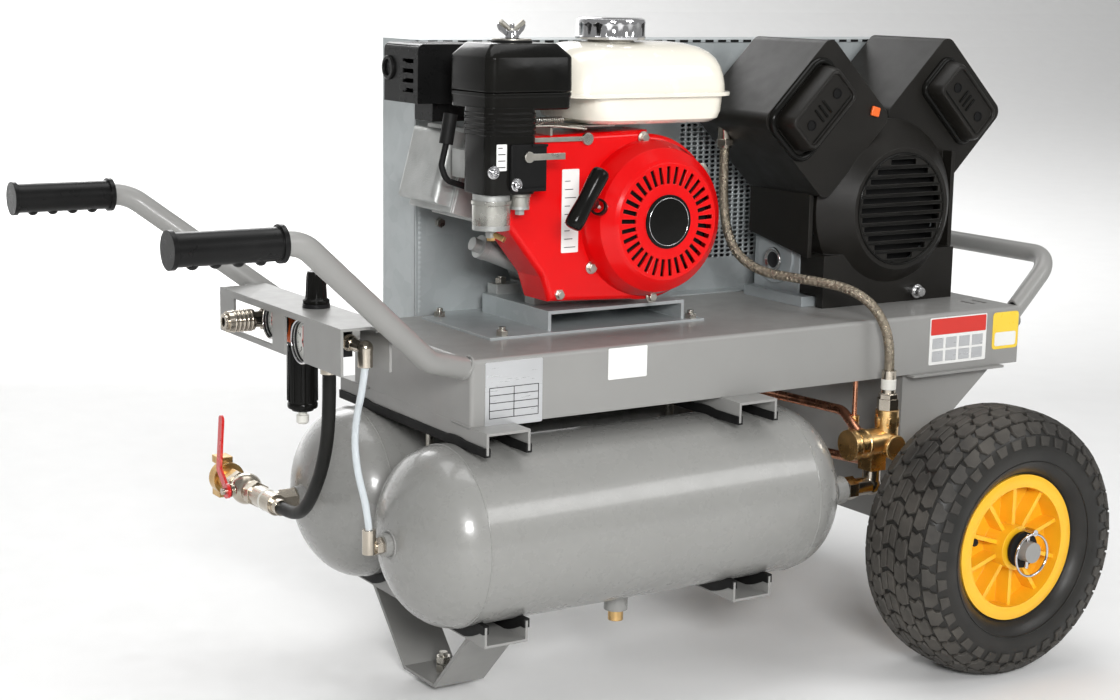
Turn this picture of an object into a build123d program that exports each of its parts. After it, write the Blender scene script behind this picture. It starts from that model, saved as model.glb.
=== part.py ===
from build123d import *
import os
from math import atan2, cos, degrees, pi, radians, sin, tan

# Wheelbarrow air compressor: two air receivers under a sheet-metal deck, a petrol engine and a
# V-twin pump on top, two pneumatic wheels at one end, a foot and two handles at the other.
# Millimetres. Modelled from the deck's handle end (X = 0, +X towards the wheels), the middle
# plane (Y = 0, +Y towards the belt guard) and the floor (Z = 0), then moved along X so that the
# origin is under the middle of the object's box.

os.makedirs("parts", exist_ok=True)

# ---- driving dimensions ----
deck_length, deck_half, deck_top, skirt_depth, deck_sheet = 820, 141.5, 421, 74, 3
skirt_bottom = deck_top - skirt_depth

tank_radius, tank_wall, tank_offset, tank_axis_z = 102, 3, 111.5, 220
tank_start, tank_end, dome_depth = -13, 437, 71

cradle_width, cradle_half, cradle_leg, cradle_sheet = 55, 177, 24, 3
cradle_xs = (0, 339)
lower_cradle_z = 106.4
edging = 3

wheel_radius, tyre_width, wheel_x, wheel_y = 165, 126, 655, 272
axle_z = wheel_radius
rim_flange_radius, rim_half_width, hub_half_width = 89.5, 47, 50
axle_radius, axle_half = 12.5, 346
bore_clearance = 0.1

foot_x, foot_height = 47, 15

handle_radius, handle_y, handle_z = 12.5, 237, 574.5
handle_bends = [45, 50]
grip_start, grip_end = -378, -262
grip_radius, grip_flange_radius = 16.5, 19

loop_radius, loop_x, loop_z, loop_half = 12, 896, 478, 118

engine_x, engine_z = 283, 553
engine_base_z = 447
blower_front, blower_back, recoil_front = -60, -4, -102
block_back = 128
engine_bolt_xs = (184, 344)

pump_x, pump_z = 678, 545
head_angle, head_distance, head_half = 45, 164, 73
shroud_back, shroud_wall = 96, 3
left_head_front, right_head_front = -48, -8

guard_front, guard_depth, guard_start, guard_stop = 144, 84, 84, 884
guard_bottom, guard_top = 398, 753
guard_sheet = 2
pulley_y, pulley_width = 186, 34
drive_pulley_radius, flywheel_radius = 54, 130

bracket_front, bracket_back, bracket_half, bracket_top = -163, -104, 158, 471
body_x, regulator_y, filter_y, manifold_y, port_z = -125, -20, 17, -62, 445

# ---- places of the air lines and fittings ----
inlet_x, inlet_y, inlet_boss_x, elbow_x, relief_z = 577, -165, 508, 556, 268
pilot_x, pilot_y = 552, -133
drain_x, drain_z = 216, 100
left_boss_x = tank_start - dome_depth - 8
outlet_x, valve_start, valve_y = -122, 150, 184
nylon_x = -107.5
gauge_face_x, small_gauge_y, large_gauge_y = -158, 30, -50
coupling_y, coupling_tip = 70, -196
shaft_radius, pump_shaft_radius = 9.5, 13
belt_offsets, groove_depth, belt_thickness = (-8, 8), 10, 8
fuel_cap_at = (256, -15)
filler_start, filler_end = (207, 30, 478), (116, 30, 515)
grip_root, grip_seat = (192, -96, 573), (153, -130, 588)

# routes of the loose hoses, point by point
discharge_route = [(484, 60, 620), (484, 60, 585), (483, 57, 548), (482, 47, 514), (484, 28, 488),
                   (493, 6, 473), (501, -20, 467), (517, -58, 465), (533, -94, 463),
                   (547, -124, 458), (560, -148, 443), (571, -161, 418), (577, -165, 388),
                   (577, -165, 362)]
outlet_route = [(-122, 82, 220), (-122, 50, 220), (-123, 18.5, 233), (-125, -12, 262),
                (-128, -42.5, 301), (-130, -62, 351), (-130, -62, 405)]
nylon_route = [(-107.5, -111.5, 240), (-107.5, -111.5, 268), (-109, -98, 298), (-113, -93, 333),
               (-119, -112, 368), (-125, -138, 397), (-125, -138, 425)]

# the origin is moved to the middle of the box that the grips and the front loop span
origin_x = (grip_start + loop_x + loop_radius) / 2


# ---- helpers ----
def block(x0, x1, y0, y1, z0, z1):
    """A box from its lowest to its highest corner."""
    return Pos((x0 + x1) / 2, (y0 + y1) / 2, (z0 + z1) / 2) * Box(x1 - x0, y1 - y0, z1 - z0)


def rod(start, end, radius):
    """A round bar between two points."""
    start, end = Vector(*start), Vector(*end)
    direction = end - start
    bar = Cylinder(radius, direction.length, align=(Align.CENTER, Align.CENTER, Align.MIN))
    return Plane(origin=start, z_dir=direction) * bar


def hex_bar(start, end, across_flats):
    """A hexagonal bar between two points."""
    start, end = Vector(*start), Vector(*end)
    direction = end - start
    outline = RegularPolygon(across_flats / 2, 6, major_radius=False)
    return extrude(Plane(origin=start, z_dir=direction) * outline, direction.length)


def ring(start, end, radius, bore):
    """A round tube between two points."""
    return rod(start, end, radius) - rod(start, end, bore)


def tube(points, bends, radius, bore=0.0):
    """A bent tube: straight runs joined by arcs, with one bend radius for each inner point."""
    path = FilletPolyline(*points, radius=bends) if len(points) > 2 else Line(*points)
    mouth = Plane(origin=path @ 0, z_dir=path % 0)
    section = mouth * Circle(radius)
    if bore:
        section -= mouth * Circle(bore)
    return sweep(section, path=path)


def bend_radii(points):
    """The arc at each inner point of a loose hose: as large as its two runs allow."""
    radii = []
    for before, corner, after in zip(points, points[1:], points[2:]):
        first = Vector(*corner) - Vector(*before)
        second = Vector(*after) - Vector(*corner)
        half_turn = radians(first.get_angle(second)) / 2
        radii.append(0.45 * min(first.length, second.length) / tan(half_turn))
    return radii


def hose(name, points, radius):
    """A loose hose along its route, with its bend radii and volume printed."""
    radii = bend_radii(points)
    path = FilletPolyline(*points, radius=radii)
    solid = sweep(Plane(origin=path @ 0, z_dir=path % 0) * Circle(radius), path=path)
    expected = pi * radius**2 * path.length
    print(name, "radii", [round(r) for r in radii], "length", round(path.length, 1),
          "volume ratio", round(solid.volume / expected, 4))
    return solid


def turned(axis_start, axis_direction, profile):
    """A solid of revolution: profile is (distance along the axis, radius) points."""
    plane = Plane(origin=axis_start, x_dir=axis_direction, z_dir=Vector(0, 0, 1).cross(
        Vector(*axis_direction)) if abs(axis_direction[2]) < 0.9 else (0, 1, 0))
    face = plane * make_face(Polyline(*profile, close=True))
    return revolve(face, Axis(axis_start, axis_direction))


def both_sides(shape):
    """The shape and its mirror image in the middle plane."""
    return [shape, mirror(shape, about=Plane.XZ)]


# ---- frame ----
def deck():
    """Folded tray, open below, with hose and strap slots near its wheel end."""
    outer = block(0, deck_length, -deck_half, deck_half, skirt_bottom, deck_top)
    outer = fillet(outer.edges().filter_by(Axis.Z) + outer.faces().sort_by(Axis.Z)[-1].edges(), 5)
    inner = block(deck_sheet, deck_length - deck_sheet, deck_sheet - deck_half,
                  deck_half - deck_sheet, skirt_bottom - 1, deck_top - deck_sheet)
    tray = outer - inner
    for slot_x in (770, 790):
        tray -= block(slot_x, slot_x + 7, -105, -75, deck_top - 5, deck_top + 1)
    return tray


def tank_bodies(radius):
    """Both tanks as plain round bars, for cutting what rests on them."""
    return [rod((tank_start - 60, side * tank_offset, tank_axis_z),
                (tank_end + 60, side * tank_offset, tank_axis_z), radius) for side in (-1, 1)]


def cradle(start_x, upper):
    """One U channel across both tanks, its legs scalloped where a tank passes."""
    sheet = cradle_sheet
    if upper:
        low, high = skirt_bottom - cradle_leg, skirt_bottom
        web = block(start_x, start_x + cradle_width, -cradle_half, cradle_half, high - sheet, high)
    else:
        low, high = lower_cradle_z, lower_cradle_z + cradle_leg
        web = block(start_x, start_x + cradle_width, -cradle_half, cradle_half, low, low + sheet)
    channel = web
    for leg_x in (start_x, start_x + cradle_width - sheet):
        channel += block(leg_x, leg_x + sheet, -cradle_half, cradle_half, low, high)
    for body in tank_bodies(tank_radius + edging):
        channel -= body
    stud_x = start_x + cradle_width / 2
    return channel - rod((stud_x, 0, low - 5), (stud_x, 0, high + 5), 5.1)


def support_leg():
    """Strip folded to a V with a flat bottom, welded under the lower channel."""
    low, high = foot_height, lower_cradle_z
    flat, spread, sheet = 38, 128, 4
    outline = Polyline((-spread, high), (-flat, low), (flat, low), (spread, high),
                       (spread - 8, high), (flat - 2, low + sheet), (2 - flat, low + sheet),
                       (8 - spread, high), close=True)
    strip = extrude(Plane(origin=(foot_x - 33, 0, 0), x_dir=(0, 1, 0), z_dir=(1, 0, 0))
                    * make_face(outline), 66)
    return strip - rod((foot_x, 0, low - 1), (foot_x, 0, low + 10), 5.1)


def cradle_channels():
    """The four channels that clamp the tanks, and the leg welded to one of them."""
    channels = [cradle(x, upper) for x in cradle_xs for upper in (True, False)]
    return channels + [support_leg()]


def cradle_edging():
    """Rubber strip over the edge of each channel leg, between the leg and the tanks."""
    channels = [cradle(x, upper) for x in cradle_xs for upper in (True, False)]
    grip_depth = 8
    pieces = []
    for start_x in cradle_xs:
        for leg_x in (start_x, start_x + cradle_width - cradle_sheet):
            for upper in (True, False):
                web = skirt_bottom - cradle_sheet if upper else lower_cradle_z + cradle_sheet
                reach = cradle_leg - cradle_sheet
                edge = web - reach if upper else web + reach
                lip = edge - 2 if upper else edge + 2
                deep = edge + grip_depth if upper else edge - grip_depth
                x0, x1 = leg_x - 2, leg_x + cradle_sheet + 2
                strip = block(x0, x1, -cradle_half, cradle_half, min(web, lip), max(web, lip))
                core = block(x0, x1, -cradle_half, cradle_half, min(web, deep), max(web, deep))
                for body in tank_bodies(tank_radius + edging + grip_depth):
                    core -= body
                strip -= core
                for cutter in tank_bodies(tank_radius + 0.1) + channels:
                    strip -= cutter
                pieces += strip.solids()
    return pieces


def frame_bolts():
    """Clamp studs, the bolts of the foot, engine and guard, and the air cleaner's wing nut."""
    pieces = []
    for start_x in cradle_xs:
        x = start_x + cradle_width / 2
        stud = rod((x, 0, lower_cradle_z - 14), (x, 0, skirt_bottom + 18), 5)
        low_nut = hex_bar((x, 0, lower_cradle_z - 9), (x, 0, lower_cradle_z), 16)
        high_nut = hex_bar((x, 0, skirt_bottom), (x, 0, skirt_bottom + 9), 16)
        pieces.append(stud + low_nut + high_nut)
    foot_bolt = rod((foot_x, 0, 9), (foot_x, 0, 42), 5)
    for z in (foot_height + 4, foot_height + 14):
        foot_bolt += hex_bar((foot_x, 0, z), (foot_x, 0, z + 8), 16)
    pieces.append(foot_bolt)
    for x in engine_bolt_xs:
        for y in (20, 108):
            pieces.append(hex_bar((x, y, engine_base_z + 12), (x, y, engine_base_z + 19), 13)
                          + rod((x, y, engine_base_z + 19), (x, y, engine_base_z + 21), 4))
    for x, y in ((100, -38), (100, 110), (366, -38), (366, 110)):
        pieces.append(hex_bar((x, y, deck_top + 3), (x, y, deck_top + 9), 13)
                      + rod((x, y, deck_top + 9), (x, y, deck_top + 13), 4))
    for x, z in ((117, 533), (117, 700), (480, 720), (480, 440)):
        pieces.append(hex_bar((x, guard_front - 6, z), (x, guard_front, z), 10))
    wing = rod((100, -52, 757), (100, -52, 761), 22) + rod((100, -52, 761), (100, -52, 772), 6)
    for side in (-1, 1):
        wing += rod((100, -52, 768), (100 + side * 15, -52, 780), 3)
    pieces.append(wing)
    return pieces


def rubber_foot():
    """Rubber pad under the leg."""
    pad = turned((foot_x, 0, 0), (0, 0, 1), [(0, 0), (0, 12), (2, 14), (15, 13), (15, 0)])
    return pad - rod((foot_x, 0, 9), (foot_x, 0, 20), 5)


def handle_route(side):
    """Axis of one handle tube, from the grip to the deck's end face."""
    return [(grip_start + 6, side * handle_y, handle_z), (-243, side * handle_y, handle_z),
            (-58, side * 154, 427), (6, side * 127, 409)]


def handle_tube():
    """One bent handle tube, cut flush with the deck's end."""
    bar = tube(handle_route(-1), handle_bends, handle_radius, handle_radius - 2)
    return bar - block(0, 60, -deck_half - 20, -80, 350, 450)


def handle_tubes():
    """The two handle tubes, mirror images."""
    return both_sides(handle_tube())


def handle_grips():
    """Rubber grips: a ring at each end and finger nubs below."""
    def along(x, radius, length):
        return rod((x, -handle_y, handle_z), (x + length, -handle_y, handle_z), radius)
    grip = along(grip_start, grip_radius, grip_end - grip_start)
    grip += along(grip_start, grip_flange_radius, 5) + along(grip_end - 5, grip_flange_radius, 5)
    for nub in range(4):
        x = grip_start + 24 + nub * 23
        grip += Pos(x, -handle_y, handle_z - grip_radius + 3) * Sphere(6.5)
    grip -= along(grip_start + 6, handle_radius + 0.05, 200)
    return both_sides(grip)


def front_loop_handle():
    """Hoop at the wheel end, for lifting and tying down."""
    route = [(deck_length - 6, -126, 404), (loop_x, -loop_half, loop_z), (loop_x, loop_half, loop_z),
             (deck_length - 6, 126, 404)]
    hoop = tube(route, [38, 38], loop_radius, loop_radius - 2)
    return hoop - block(deck_length - 60, deck_length, -200, 200, 350, 450)


def wheel_carrier():
    """Folded bracket under the deck that carries the axle."""
    front, sheet, low = 632, 3, axle_z - axle_radius - 3
    top = skirt_bottom
    flange = block(front, 786, -150, 150, top - sheet, top)
    flange -= block(front + 24, 800, -118, 118, top - sheet - 1, top + 1)
    wall = block(front, front + sheet, -130, 130, low, top - sheet)
    shelf = block(front, wheel_x + 16, -130, 130, low, low + sheet)
    side = Polyline((front, top - sheet), (784, top - sheet), (front + 40, 250), (front + 39, low),
                    (front, low), close=True)
    gusset = extrude(Plane(origin=(0, -127, 0), x_dir=(1, 0, 0), z_dir=(0, -1, 0))
                     * make_face(side), sheet)
    gussets = gusset + mirror(gusset, about=Plane.XZ)
    gussets -= rod((wheel_x, -200, axle_z), (wheel_x, 200, axle_z), axle_radius)
    return flange + wall + shelf + gussets


def axle():
    """Solid axle, with a stop collar inside each wheel and a pin hole at each end."""
    bar = rod((wheel_x, -axle_half, axle_z), (wheel_x, axle_half, axle_z), axle_radius)
    inner = wheel_y - hub_half_width
    for side in (-1, 1):
        bar += rod((wheel_x, side * (inner - 9), axle_z), (wheel_x, side * (inner - 1), axle_z), 19)
        bar -= rod((wheel_x, side * 336, axle_z - 30), (wheel_x, side * 336, axle_z + 30), 2.6)
    return bar


def ring_pins():
    """Linch pin with its spring ring, and a washer, at each end of the axle."""
    y = -336
    pin = rod((wheel_x, y, axle_z - 21), (wheel_x, y, axle_z + 19), 2.5)
    pin += rod((wheel_x, y, axle_z + 17), (wheel_x, y, axle_z + 25), 4.5)
    ring_y = y - 12.5
    pin += rod((wheel_x, y, axle_z + 21), (wheel_x, ring_y, axle_z + 21), 2)
    pin += Plane(origin=(wheel_x, ring_y, axle_z + 2), z_dir=(0, 1, 0)) * Torus(19, 1.6)
    washer = ring((wheel_x, y + 3.4, axle_z), (wheel_x, y + 6.4, axle_z), 21, axle_radius + 0.05)
    return both_sides(pin) + both_sides(washer)


# ---- wheels ----
def tyre(side):
    """Turf tyre: crowned tread, round shoulders and side walls, hollow inside."""
    half = tyre_width / 2
    plane = Plane(origin=(wheel_x, side * wheel_y, axle_z), x_dir=(0, 1, 0), z_dir=(1, 0, 0))
    outer = [(half, 122), (half - 3, 142), (half - 16, 157), (0, wheel_radius),
             (16 - half, 157), (3 - half, 142), (-half, 122)]
    inner = [(-38, 92), (-54, 122), (-46, 146), (0, 154), (46, 146), (54, 122), (38, 92)]
    wall = Spline(*outer) + Line((-half, 122), (-44, 90)) + Line((-44, 90), (-38, 92))
    wall += Spline(*inner) + Line((38, 92), (44, 90)) + Line((44, 90), (half, 122))
    return revolve(plane * make_face(wall), Axis((wheel_x, 0, axle_z), (0, 1, 0)))


def rim(side):
    """Moulded rim: drop-centre barrel, web, ten ribs and a hub."""
    w, f = rim_half_width, rim_flange_radius
    barrel = [(-w, 74), (-w, f), (4 - w, f), (8 - w, 83), (-38, 85.5), (-30, 85.5), (-22, 78), (22, 78),
              (30, 85.5), (38, 85.5), (w - 8, 83), (w - 4, f), (w, f), (w, 74)]
    centre = side * wheel_y
    shape = turned((wheel_x, centre, axle_z), (0, 1, 0), barrel)
    web = centre + side * 16
    shape += ring((wheel_x, web - 2.5, axle_z), (wheel_x, web + 2.5, axle_z), 75, 20)
    rib_low, rib_high = sorted((centre - side * 24, centre + side * (w - 8)))
    for step in range(10):
        rib = block(-2.5, 2.5, rib_low, rib_high, 25, 76)
        shape += Pos(wheel_x, 0, axle_z) * (Rot(0, 36 * step, 0) * rib)
    hub_low, hub_high = centre - hub_half_width, centre + hub_half_width
    shape += rod((wheel_x, hub_low, axle_z), (wheel_x, hub_high, axle_z), 27)
    return shape - rod((wheel_x, hub_low - 1, axle_z), (wheel_x, hub_high + 1, axle_z),
                       axle_radius + bore_clearance)


# ---- air receivers and their fittings ----
def receiver(side, bosses):
    """Hollow welded tank with threaded bosses at its ends and a drain boss underneath."""
    y = side * tank_offset

    def solid(radius, depth):
        bar = rod((tank_start, y, tank_axis_z), (tank_end, y, tank_axis_z), radius)
        for x in (tank_start, tank_end):
            bar += Pos(x, y, tank_axis_z) * scale(Sphere(radius), by=(depth / radius, 1, 1))
        return bar

    shell = solid(tank_radius, dome_depth) + rod((drain_x, y, drain_z), (drain_x, y, 122), 14)
    for start, end, radius in bosses:
        shell += rod(start, end, radius)
    shell -= solid(tank_radius - tank_wall, dome_depth - tank_wall)
    return shell - rod((drain_x, y, drain_z - 1), (drain_x, y, 125), 8)


def front_tank():
    """Receiver on the valve's side, with the compressor inlet boss off its axis."""
    y = -tank_offset
    return receiver(-1, [((left_boss_x, y, tank_axis_z), (-80, y, tank_axis_z), 13),
                         ((inlet_boss_x, inlet_y, tank_axis_z), (492, inlet_y, tank_axis_z), 17)])


def rear_tank():
    """Receiver on the belt guard's side, with the outlet boss and two pipe bosses."""
    y = tank_offset
    return receiver(1, [((left_boss_x, y, tank_axis_z), (-80, y, tank_axis_z), 15),
                        ((520, y, tank_axis_z), (500, y, tank_axis_z), 11),
                        ((515, y, relief_z), (492, y, relief_z), 11)])


def drain_screw(side):
    """Brass drain screw under a tank: thread in the boss, round head below."""
    y = side * tank_offset
    head = rod((drain_x, y, 87), (drain_x, y, drain_z - 0.3), 9)
    return head + rod((drain_x, y, drain_z - 0.3), (drain_x, y, 116), 7.9)


def copper_pipes():
    """Balance pipe and relief pipe to the rear tank, and the thin pilot pipe to the deck."""
    y = tank_offset
    balance = tube([(elbow_x, inlet_y + 12, 248), (elbow_x, -40, 240), (elbow_x, y, 224),
                    (520, y, tank_axis_z)], [60, 18], 6)
    relief = tube([(546, inlet_y + 16, 284), (546, -118, 306), (546, 60, 300), (546, y, relief_z + 3),
                   (515, y, relief_z)], [24, 40, 14], 6)
    pilot = tube([(pilot_x, pilot_y, 302), (pilot_x, pilot_y, 390), (pilot_x, 0, 390),
                  (pilot_x, 0, deck_top - deck_sheet)], [20, 20], 3)
    pieces = []
    for pipe in (balance - rod((500, y, tank_axis_z), (520, y, tank_axis_z), 30),
                 relief - rod((490, y, relief_z), (515, y, relief_z), 30)):
        pieces.append(pipe - unloader_valve())
    return pieces + [pilot]


def unloader_valve():
    """Brass check and unloader valve between the discharge hose and the front tank."""
    y = inlet_y
    body = block(elbow_x - 12, elbow_x + 12, y - 12, y + 12, 240, 262)
    body += rod((519, y, 274), (inlet_x, y, 274), 17) + rod((516, y, 274), (522, y, 274), 19)
    body += rod((inlet_x, y, 258), (inlet_x, y, 313), 14.5)
    body += rod((inlet_x, y + 12, 268), (inlet_x, y - 19, 268), 15)
    body += rod((pilot_x, y, 280), (pilot_x, pilot_y, 280), 7) + Pos(pilot_x, pilot_y, 280) * Sphere(8)
    return body + rod((pilot_x, pilot_y, 280), (pilot_x, pilot_y, 302), 6.5)


def air_fittings():
    """Elbows, unions and hose ferrules of the air lines."""
    y = inlet_y
    pieces = [rod((inlet_boss_x, y, tank_axis_z), (elbow_x, y, tank_axis_z), 11)
              + Pos(elbow_x, y, tank_axis_z) * Sphere(12.5)
              + rod((elbow_x, y, tank_axis_z), (elbow_x, y, 240), 11)
              + hex_bar((inlet_boss_x + 4, y, tank_axis_z), (inlet_boss_x + 18, y, tank_axis_z), 26)]
    pieces.append(hex_bar((inlet_x, y, 313), (inlet_x, y, 327), 24)
                  + rod((inlet_x, y, 327), discharge_route[-1], 9))
    pieces.append(rod(discharge_route[0], (484, 60, 646), 9))
    elbow_y, z = -tank_offset, tank_axis_z
    pieces.append(hex_bar((-101, elbow_y, z), (left_boss_x, elbow_y, z), 17)
                  + rod((nylon_x, elbow_y, z), (-101, elbow_y, z), 6)
                  + rod((nylon_x, elbow_y, z - 7), nylon_route[0], 7.5))
    union_y = tank_offset
    pieces.append(hex_bar((-112, union_y, z), (left_boss_x, union_y, z), 24)
                  + rod((outlet_x, union_y, z), (-112, union_y, z), 12)
                  + rod((outlet_x, 96, z), (outlet_x, valve_start, z), 12.5)
                  + rod((outlet_x, 96, z), outlet_route[0], 9.5))
    pieces.append(rod(outlet_route[-1], (outlet_route[-1][0], outlet_route[-1][1], port_z - 20), 9.5))
    fitting_y = manifold_y - 18
    pieces.append(rod((body_x, fitting_y, port_z), (body_x, fitting_y - 22, port_z), 9)
                  + hex_bar((body_x, fitting_y - 22, port_z), (body_x, fitting_y - 34, port_z), 14)
                  + rod((body_x, fitting_y - 34, port_z), (body_x, nylon_route[-1][1], port_z), 6.5)
                  + Pos(body_x, nylon_route[-1][1], port_z) * Sphere(8.5)
                  + rod((body_x, nylon_route[-1][1], port_z), nylon_route[-1], 8))
    return pieces


def discharge_hose():
    """Braided steel hose from the pump to the unloader valve."""
    return hose("discharge_hose", discharge_route, 5.5)


def outlet_hose():
    """Black rubber hose from the rear tank's tee up to the regulator."""
    return hose("outlet_hose", outlet_route, 7.5)


def nylon_tube():
    """Clear pilot tube from the front tank to the regulator bracket."""
    return hose("nylon_tube", nylon_route, 4)


def ball_valve():
    """Ball valve along the outlet, with its stem towards the handles."""
    x, z = outlet_x, tank_axis_z
    body = hex_bar((x, valve_start, z), (x, valve_start + 12, z), 27)
    body += rod((x, valve_start + 12, z), (x, 208, z), 13) + Pos(x, valve_y, z) * Sphere(19)
    body += hex_bar((x, 204, z), (x, 214, z), 27)
    body += rod((x, valve_y, z), (x - 21, valve_y, z), 8)
    return body + rod((x - 21, valve_y, z), (x - 32, valve_y, z), 4)


def valve_lever():
    """Red lever on the ball valve's stem, cranked away from the pipe."""
    x, z = outlet_x - 23, tank_axis_z
    route = [(valve_y, z), (valve_y + 24, z + 22), (valve_y + 15, z + 84)]
    strip = rod((x, valve_y, z), (x - 4, valve_y, z), 9)
    for (y0, z0), (y1, z1) in zip(route, route[1:]):
        angle = degrees(atan2(z1 - z0, y1 - y0))
        length = Vector(y1 - y0, z1 - z0).length
        bar = SlotCenterToCenter(length, 11)
        face = Plane(origin=(x, (y0 + y1) / 2, (z0 + z1) / 2), x_dir=(0, cos(radians(angle)),
                     sin(radians(angle))), z_dir=(-1, 0, 0)) * bar
        strip += extrude(face, 3)
    return strip - rod((x + 1, valve_y, z), (x - 8, valve_y, z), 4.1)


def claw_coupling():
    """Two-lug brass hose coupling on the ball valve."""
    x, z = outlet_x, tank_axis_z
    body = hex_bar((x, 214, z), (x, 226, z), 27) + rod((x, 226, z), (x, 262, z), 13)
    body += rod((x, 236, z), (x, 252, z), 20)
    for side in (-1, 1):
        lug = block(x - 9, x + 9, 246, 268, z + 16, z + 25)
        body += mirror(lug, about=Plane(origin=(x, 0, z))) if side < 0 else lug
    return body - rod((x, 212, z), (x, 270, z), 8)


# ---- regulator bracket ----
def regulator_bracket():
    """Inverted channel between the handle tubes, with openings for the coupling and gauges."""
    front, back, half, top = bracket_front, bracket_back, bracket_half, bracket_top
    sheet, depth = 3, 50
    shape = block(front, back, -half, half, top - depth, top)
    shape -= block(front + sheet, back - sheet, -half - 1, half + 1, top - depth - 1, top - sheet)
    shape += block(-128, back, -170, 170, top - sheet, top)
    shape -= block(front - 1, front + sheet + 1, 12, 118, top - 44, top - 8)
    shape -= block(front - 1, front + sheet + 1, -68, -20, top - depth - 1, top - 7)
    shape -= block(back - sheet - 1, back + 1, -90, 110, top - depth - 1, top - 12)
    shape -= rod((body_x, regulator_y, top - 10), (body_x, regulator_y, top + 1), 15.5)
    for bar in handle_tubes_solid():
        shape -= bar
    return shape


def handle_tubes_solid():
    """The handle tubes as solid bars, for cutting what is welded to them."""
    return both_sides(tube(handle_route(-1), handle_bends, handle_radius))


def regulator_body():
    """Filter, regulator and outlet blocks, side by side."""
    z0, z1 = port_z - 20, port_z + 19
    body = block(body_x - 17, body_x + 17, -1, 36, z0, z1)
    body += block(body_x - 17, body_x + 17, -41, -1, z0, z1)
    body += rod((body_x, regulator_y, z1), (body_x, regulator_y, bracket_top + 4), 15)
    plug_y = -16
    body += rod((body_x - 17, plug_y, port_z), (body_x - 24, plug_y, port_z), 9)
    manifold = block(body_x - 14, body_x + 14, manifold_y - 18, -41, z0, z1)
    outlet = block(body_x - 12, body_x + 12, 36, 90, port_z - 11, port_z + 13)
    return [body, manifold, outlet]


def regulator_knob():
    """Ribbed pressure knob above the bracket."""
    y, low = regulator_y, bracket_top + 4.3
    knob = turned((body_x, y, low), (0, 0, 1), [(0, 0), (0, 14.5), (4, 14.5), (6, 12), (34, 10.5),
                                               (36, 9), (36, 0)])
    for step in range(12):
        groove = rod((12.8, 0, 8), (12.2, 0, 40), 1.4)
        knob -= Pos(body_x, y, low) * (Rot(0, 0, 30 * step) * groove)
    return knob


def filter_bowl():
    """Filter bowl hanging under the filter block."""
    top = port_z - 20
    bowl = turned((body_x, filter_y, top), (0, 0, -1), [(0, 0), (0, 15), (3, 17), (70, 16), (76, 12),
                                                       (76, 0)])
    return bowl - rod((body_x, filter_y, top + 1), (body_x, filter_y, top - 70), 13)


def bowl_drain():
    """White twist drain under the bowl."""
    top = port_z - 20 - 76 - 0.3
    return turned((body_x, filter_y, top), (0, 0, -1), [(0, 0), (0, 5), (5, 5), (5, 7), (13, 7),
                                                       (15, 5), (15, 0)])


def gauge(y, radius, z, back):
    """Round pressure gauge facing the handles, open in front of its dial."""
    case = rod((gauge_face_x, y, z), (back, y, z), radius)
    case -= rod((gauge_face_x - 1, y, z), (gauge_face_x + 6, y, z), radius - 2.5)
    return case + rod((gauge_face_x + 6, y, z), (gauge_face_x + 2.5, y, z), 1.2)


def pressure_gauges():
    """Outlet gauge and regulator gauge."""
    small = gauge(small_gauge_y, 19, 449, body_x - 17) - regulator_bracket()
    large = gauge(large_gauge_y, 24.5, 440, body_x - 17)
    stem = rod((body_x - 17, large_gauge_y, 440), (body_x - 14, large_gauge_y, 440), 7)
    return [small, large + stem]


def gauge_needle(y, z, length):
    """Needle on the gauge's pivot, clear of the dial."""
    x = gauge_face_x + 3
    needle = ring((x, y, z), (x + 1.5, y, z), 3, 1.5)
    pointer = block(x, x + 1, y - 0.8, y + 0.8, z - length / 3, z + length)
    return needle + (pointer - rod((x - 1, y, z), (x + 3, y, z), 2))


def quick_coupling():
    """Body of the quick coupling, screwed into the outlet block."""
    z = port_z + 1
    body = hex_bar((body_x - 12, coupling_y, z), (body_x - 26, coupling_y, z), 21)
    body += rod((body_x - 26, coupling_y, z), (coupling_tip, coupling_y, z), 9)
    return body - rod((coupling_tip - 1, coupling_y, z), (body_x - 30, coupling_y, z), 5.2)


def coupling_sleeve():
    """Sliding sleeve of the quick coupling."""
    z = port_z + 1
    sleeve = ring((body_x - 36, coupling_y, z), (coupling_tip + 4, coupling_y, z), 12, 9.1)
    for step in range(4):
        x = body_x - 42 - 5 * step
        sleeve -= ring((x, coupling_y, z), (x - 2, coupling_y, z), 13, 11.2)
    return sleeve


# ---- engine ----
def around_crank(distance0, distance1, half_width, y0, y1):
    """A box across the engine's inclined cylinder, between two distances from the crank."""
    tilt = 15
    box = block(-distance1, -distance0, y0, y1, -half_width, half_width)
    return Pos(engine_x, 0, engine_z) * (Rot(0, tilt, 0) * box)


def engine_block():
    """Crankcase with feet, oil filler neck and the finned, inclined cylinder."""
    x0, x1, y1 = 205, 333, block_back
    case = block(x0, x1, 0, y1, engine_base_z + 12, 640)
    case = fillet(case.edges().filter_by(Axis.Y), 16)
    case += block(x0, x1, 8, y1 - 8, engine_base_z, engine_base_z + 14)
    for foot_y in (20, 108):
        case += block(172, 356, foot_y - 11, foot_y + 11, engine_base_z, engine_base_z + 12)
    case += block(240, x1 - 8, 20, 60, 636, 662.7)
    for fin in range(9):
        case += around_crank(92 + fin * 11, 95 + fin * 11, 52, 12, 118)
    case += around_crank(60, 190, 42, 22, 108) + around_crank(183, 214, 50, 14, 116)
    case += rod(filler_start, filler_end, 13)
    case -= block(x0 + 12, x1 - 11, 13, y1 - 13, 475, 628)
    shaft = rod((engine_x, -1, engine_z), (engine_x, y1 + 1, engine_z), shaft_radius + bore_clearance)
    return case - shaft


def rocker_cover():
    """Pressed cover on the cylinder head."""
    cover = around_crank(214, 240, 43, 20, 110)
    cover = fillet(cover.faces().sort_by(Axis.X)[0].edges(), 8)
    return cover + around_crank(214, 217, 49, 15, 115)


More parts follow.
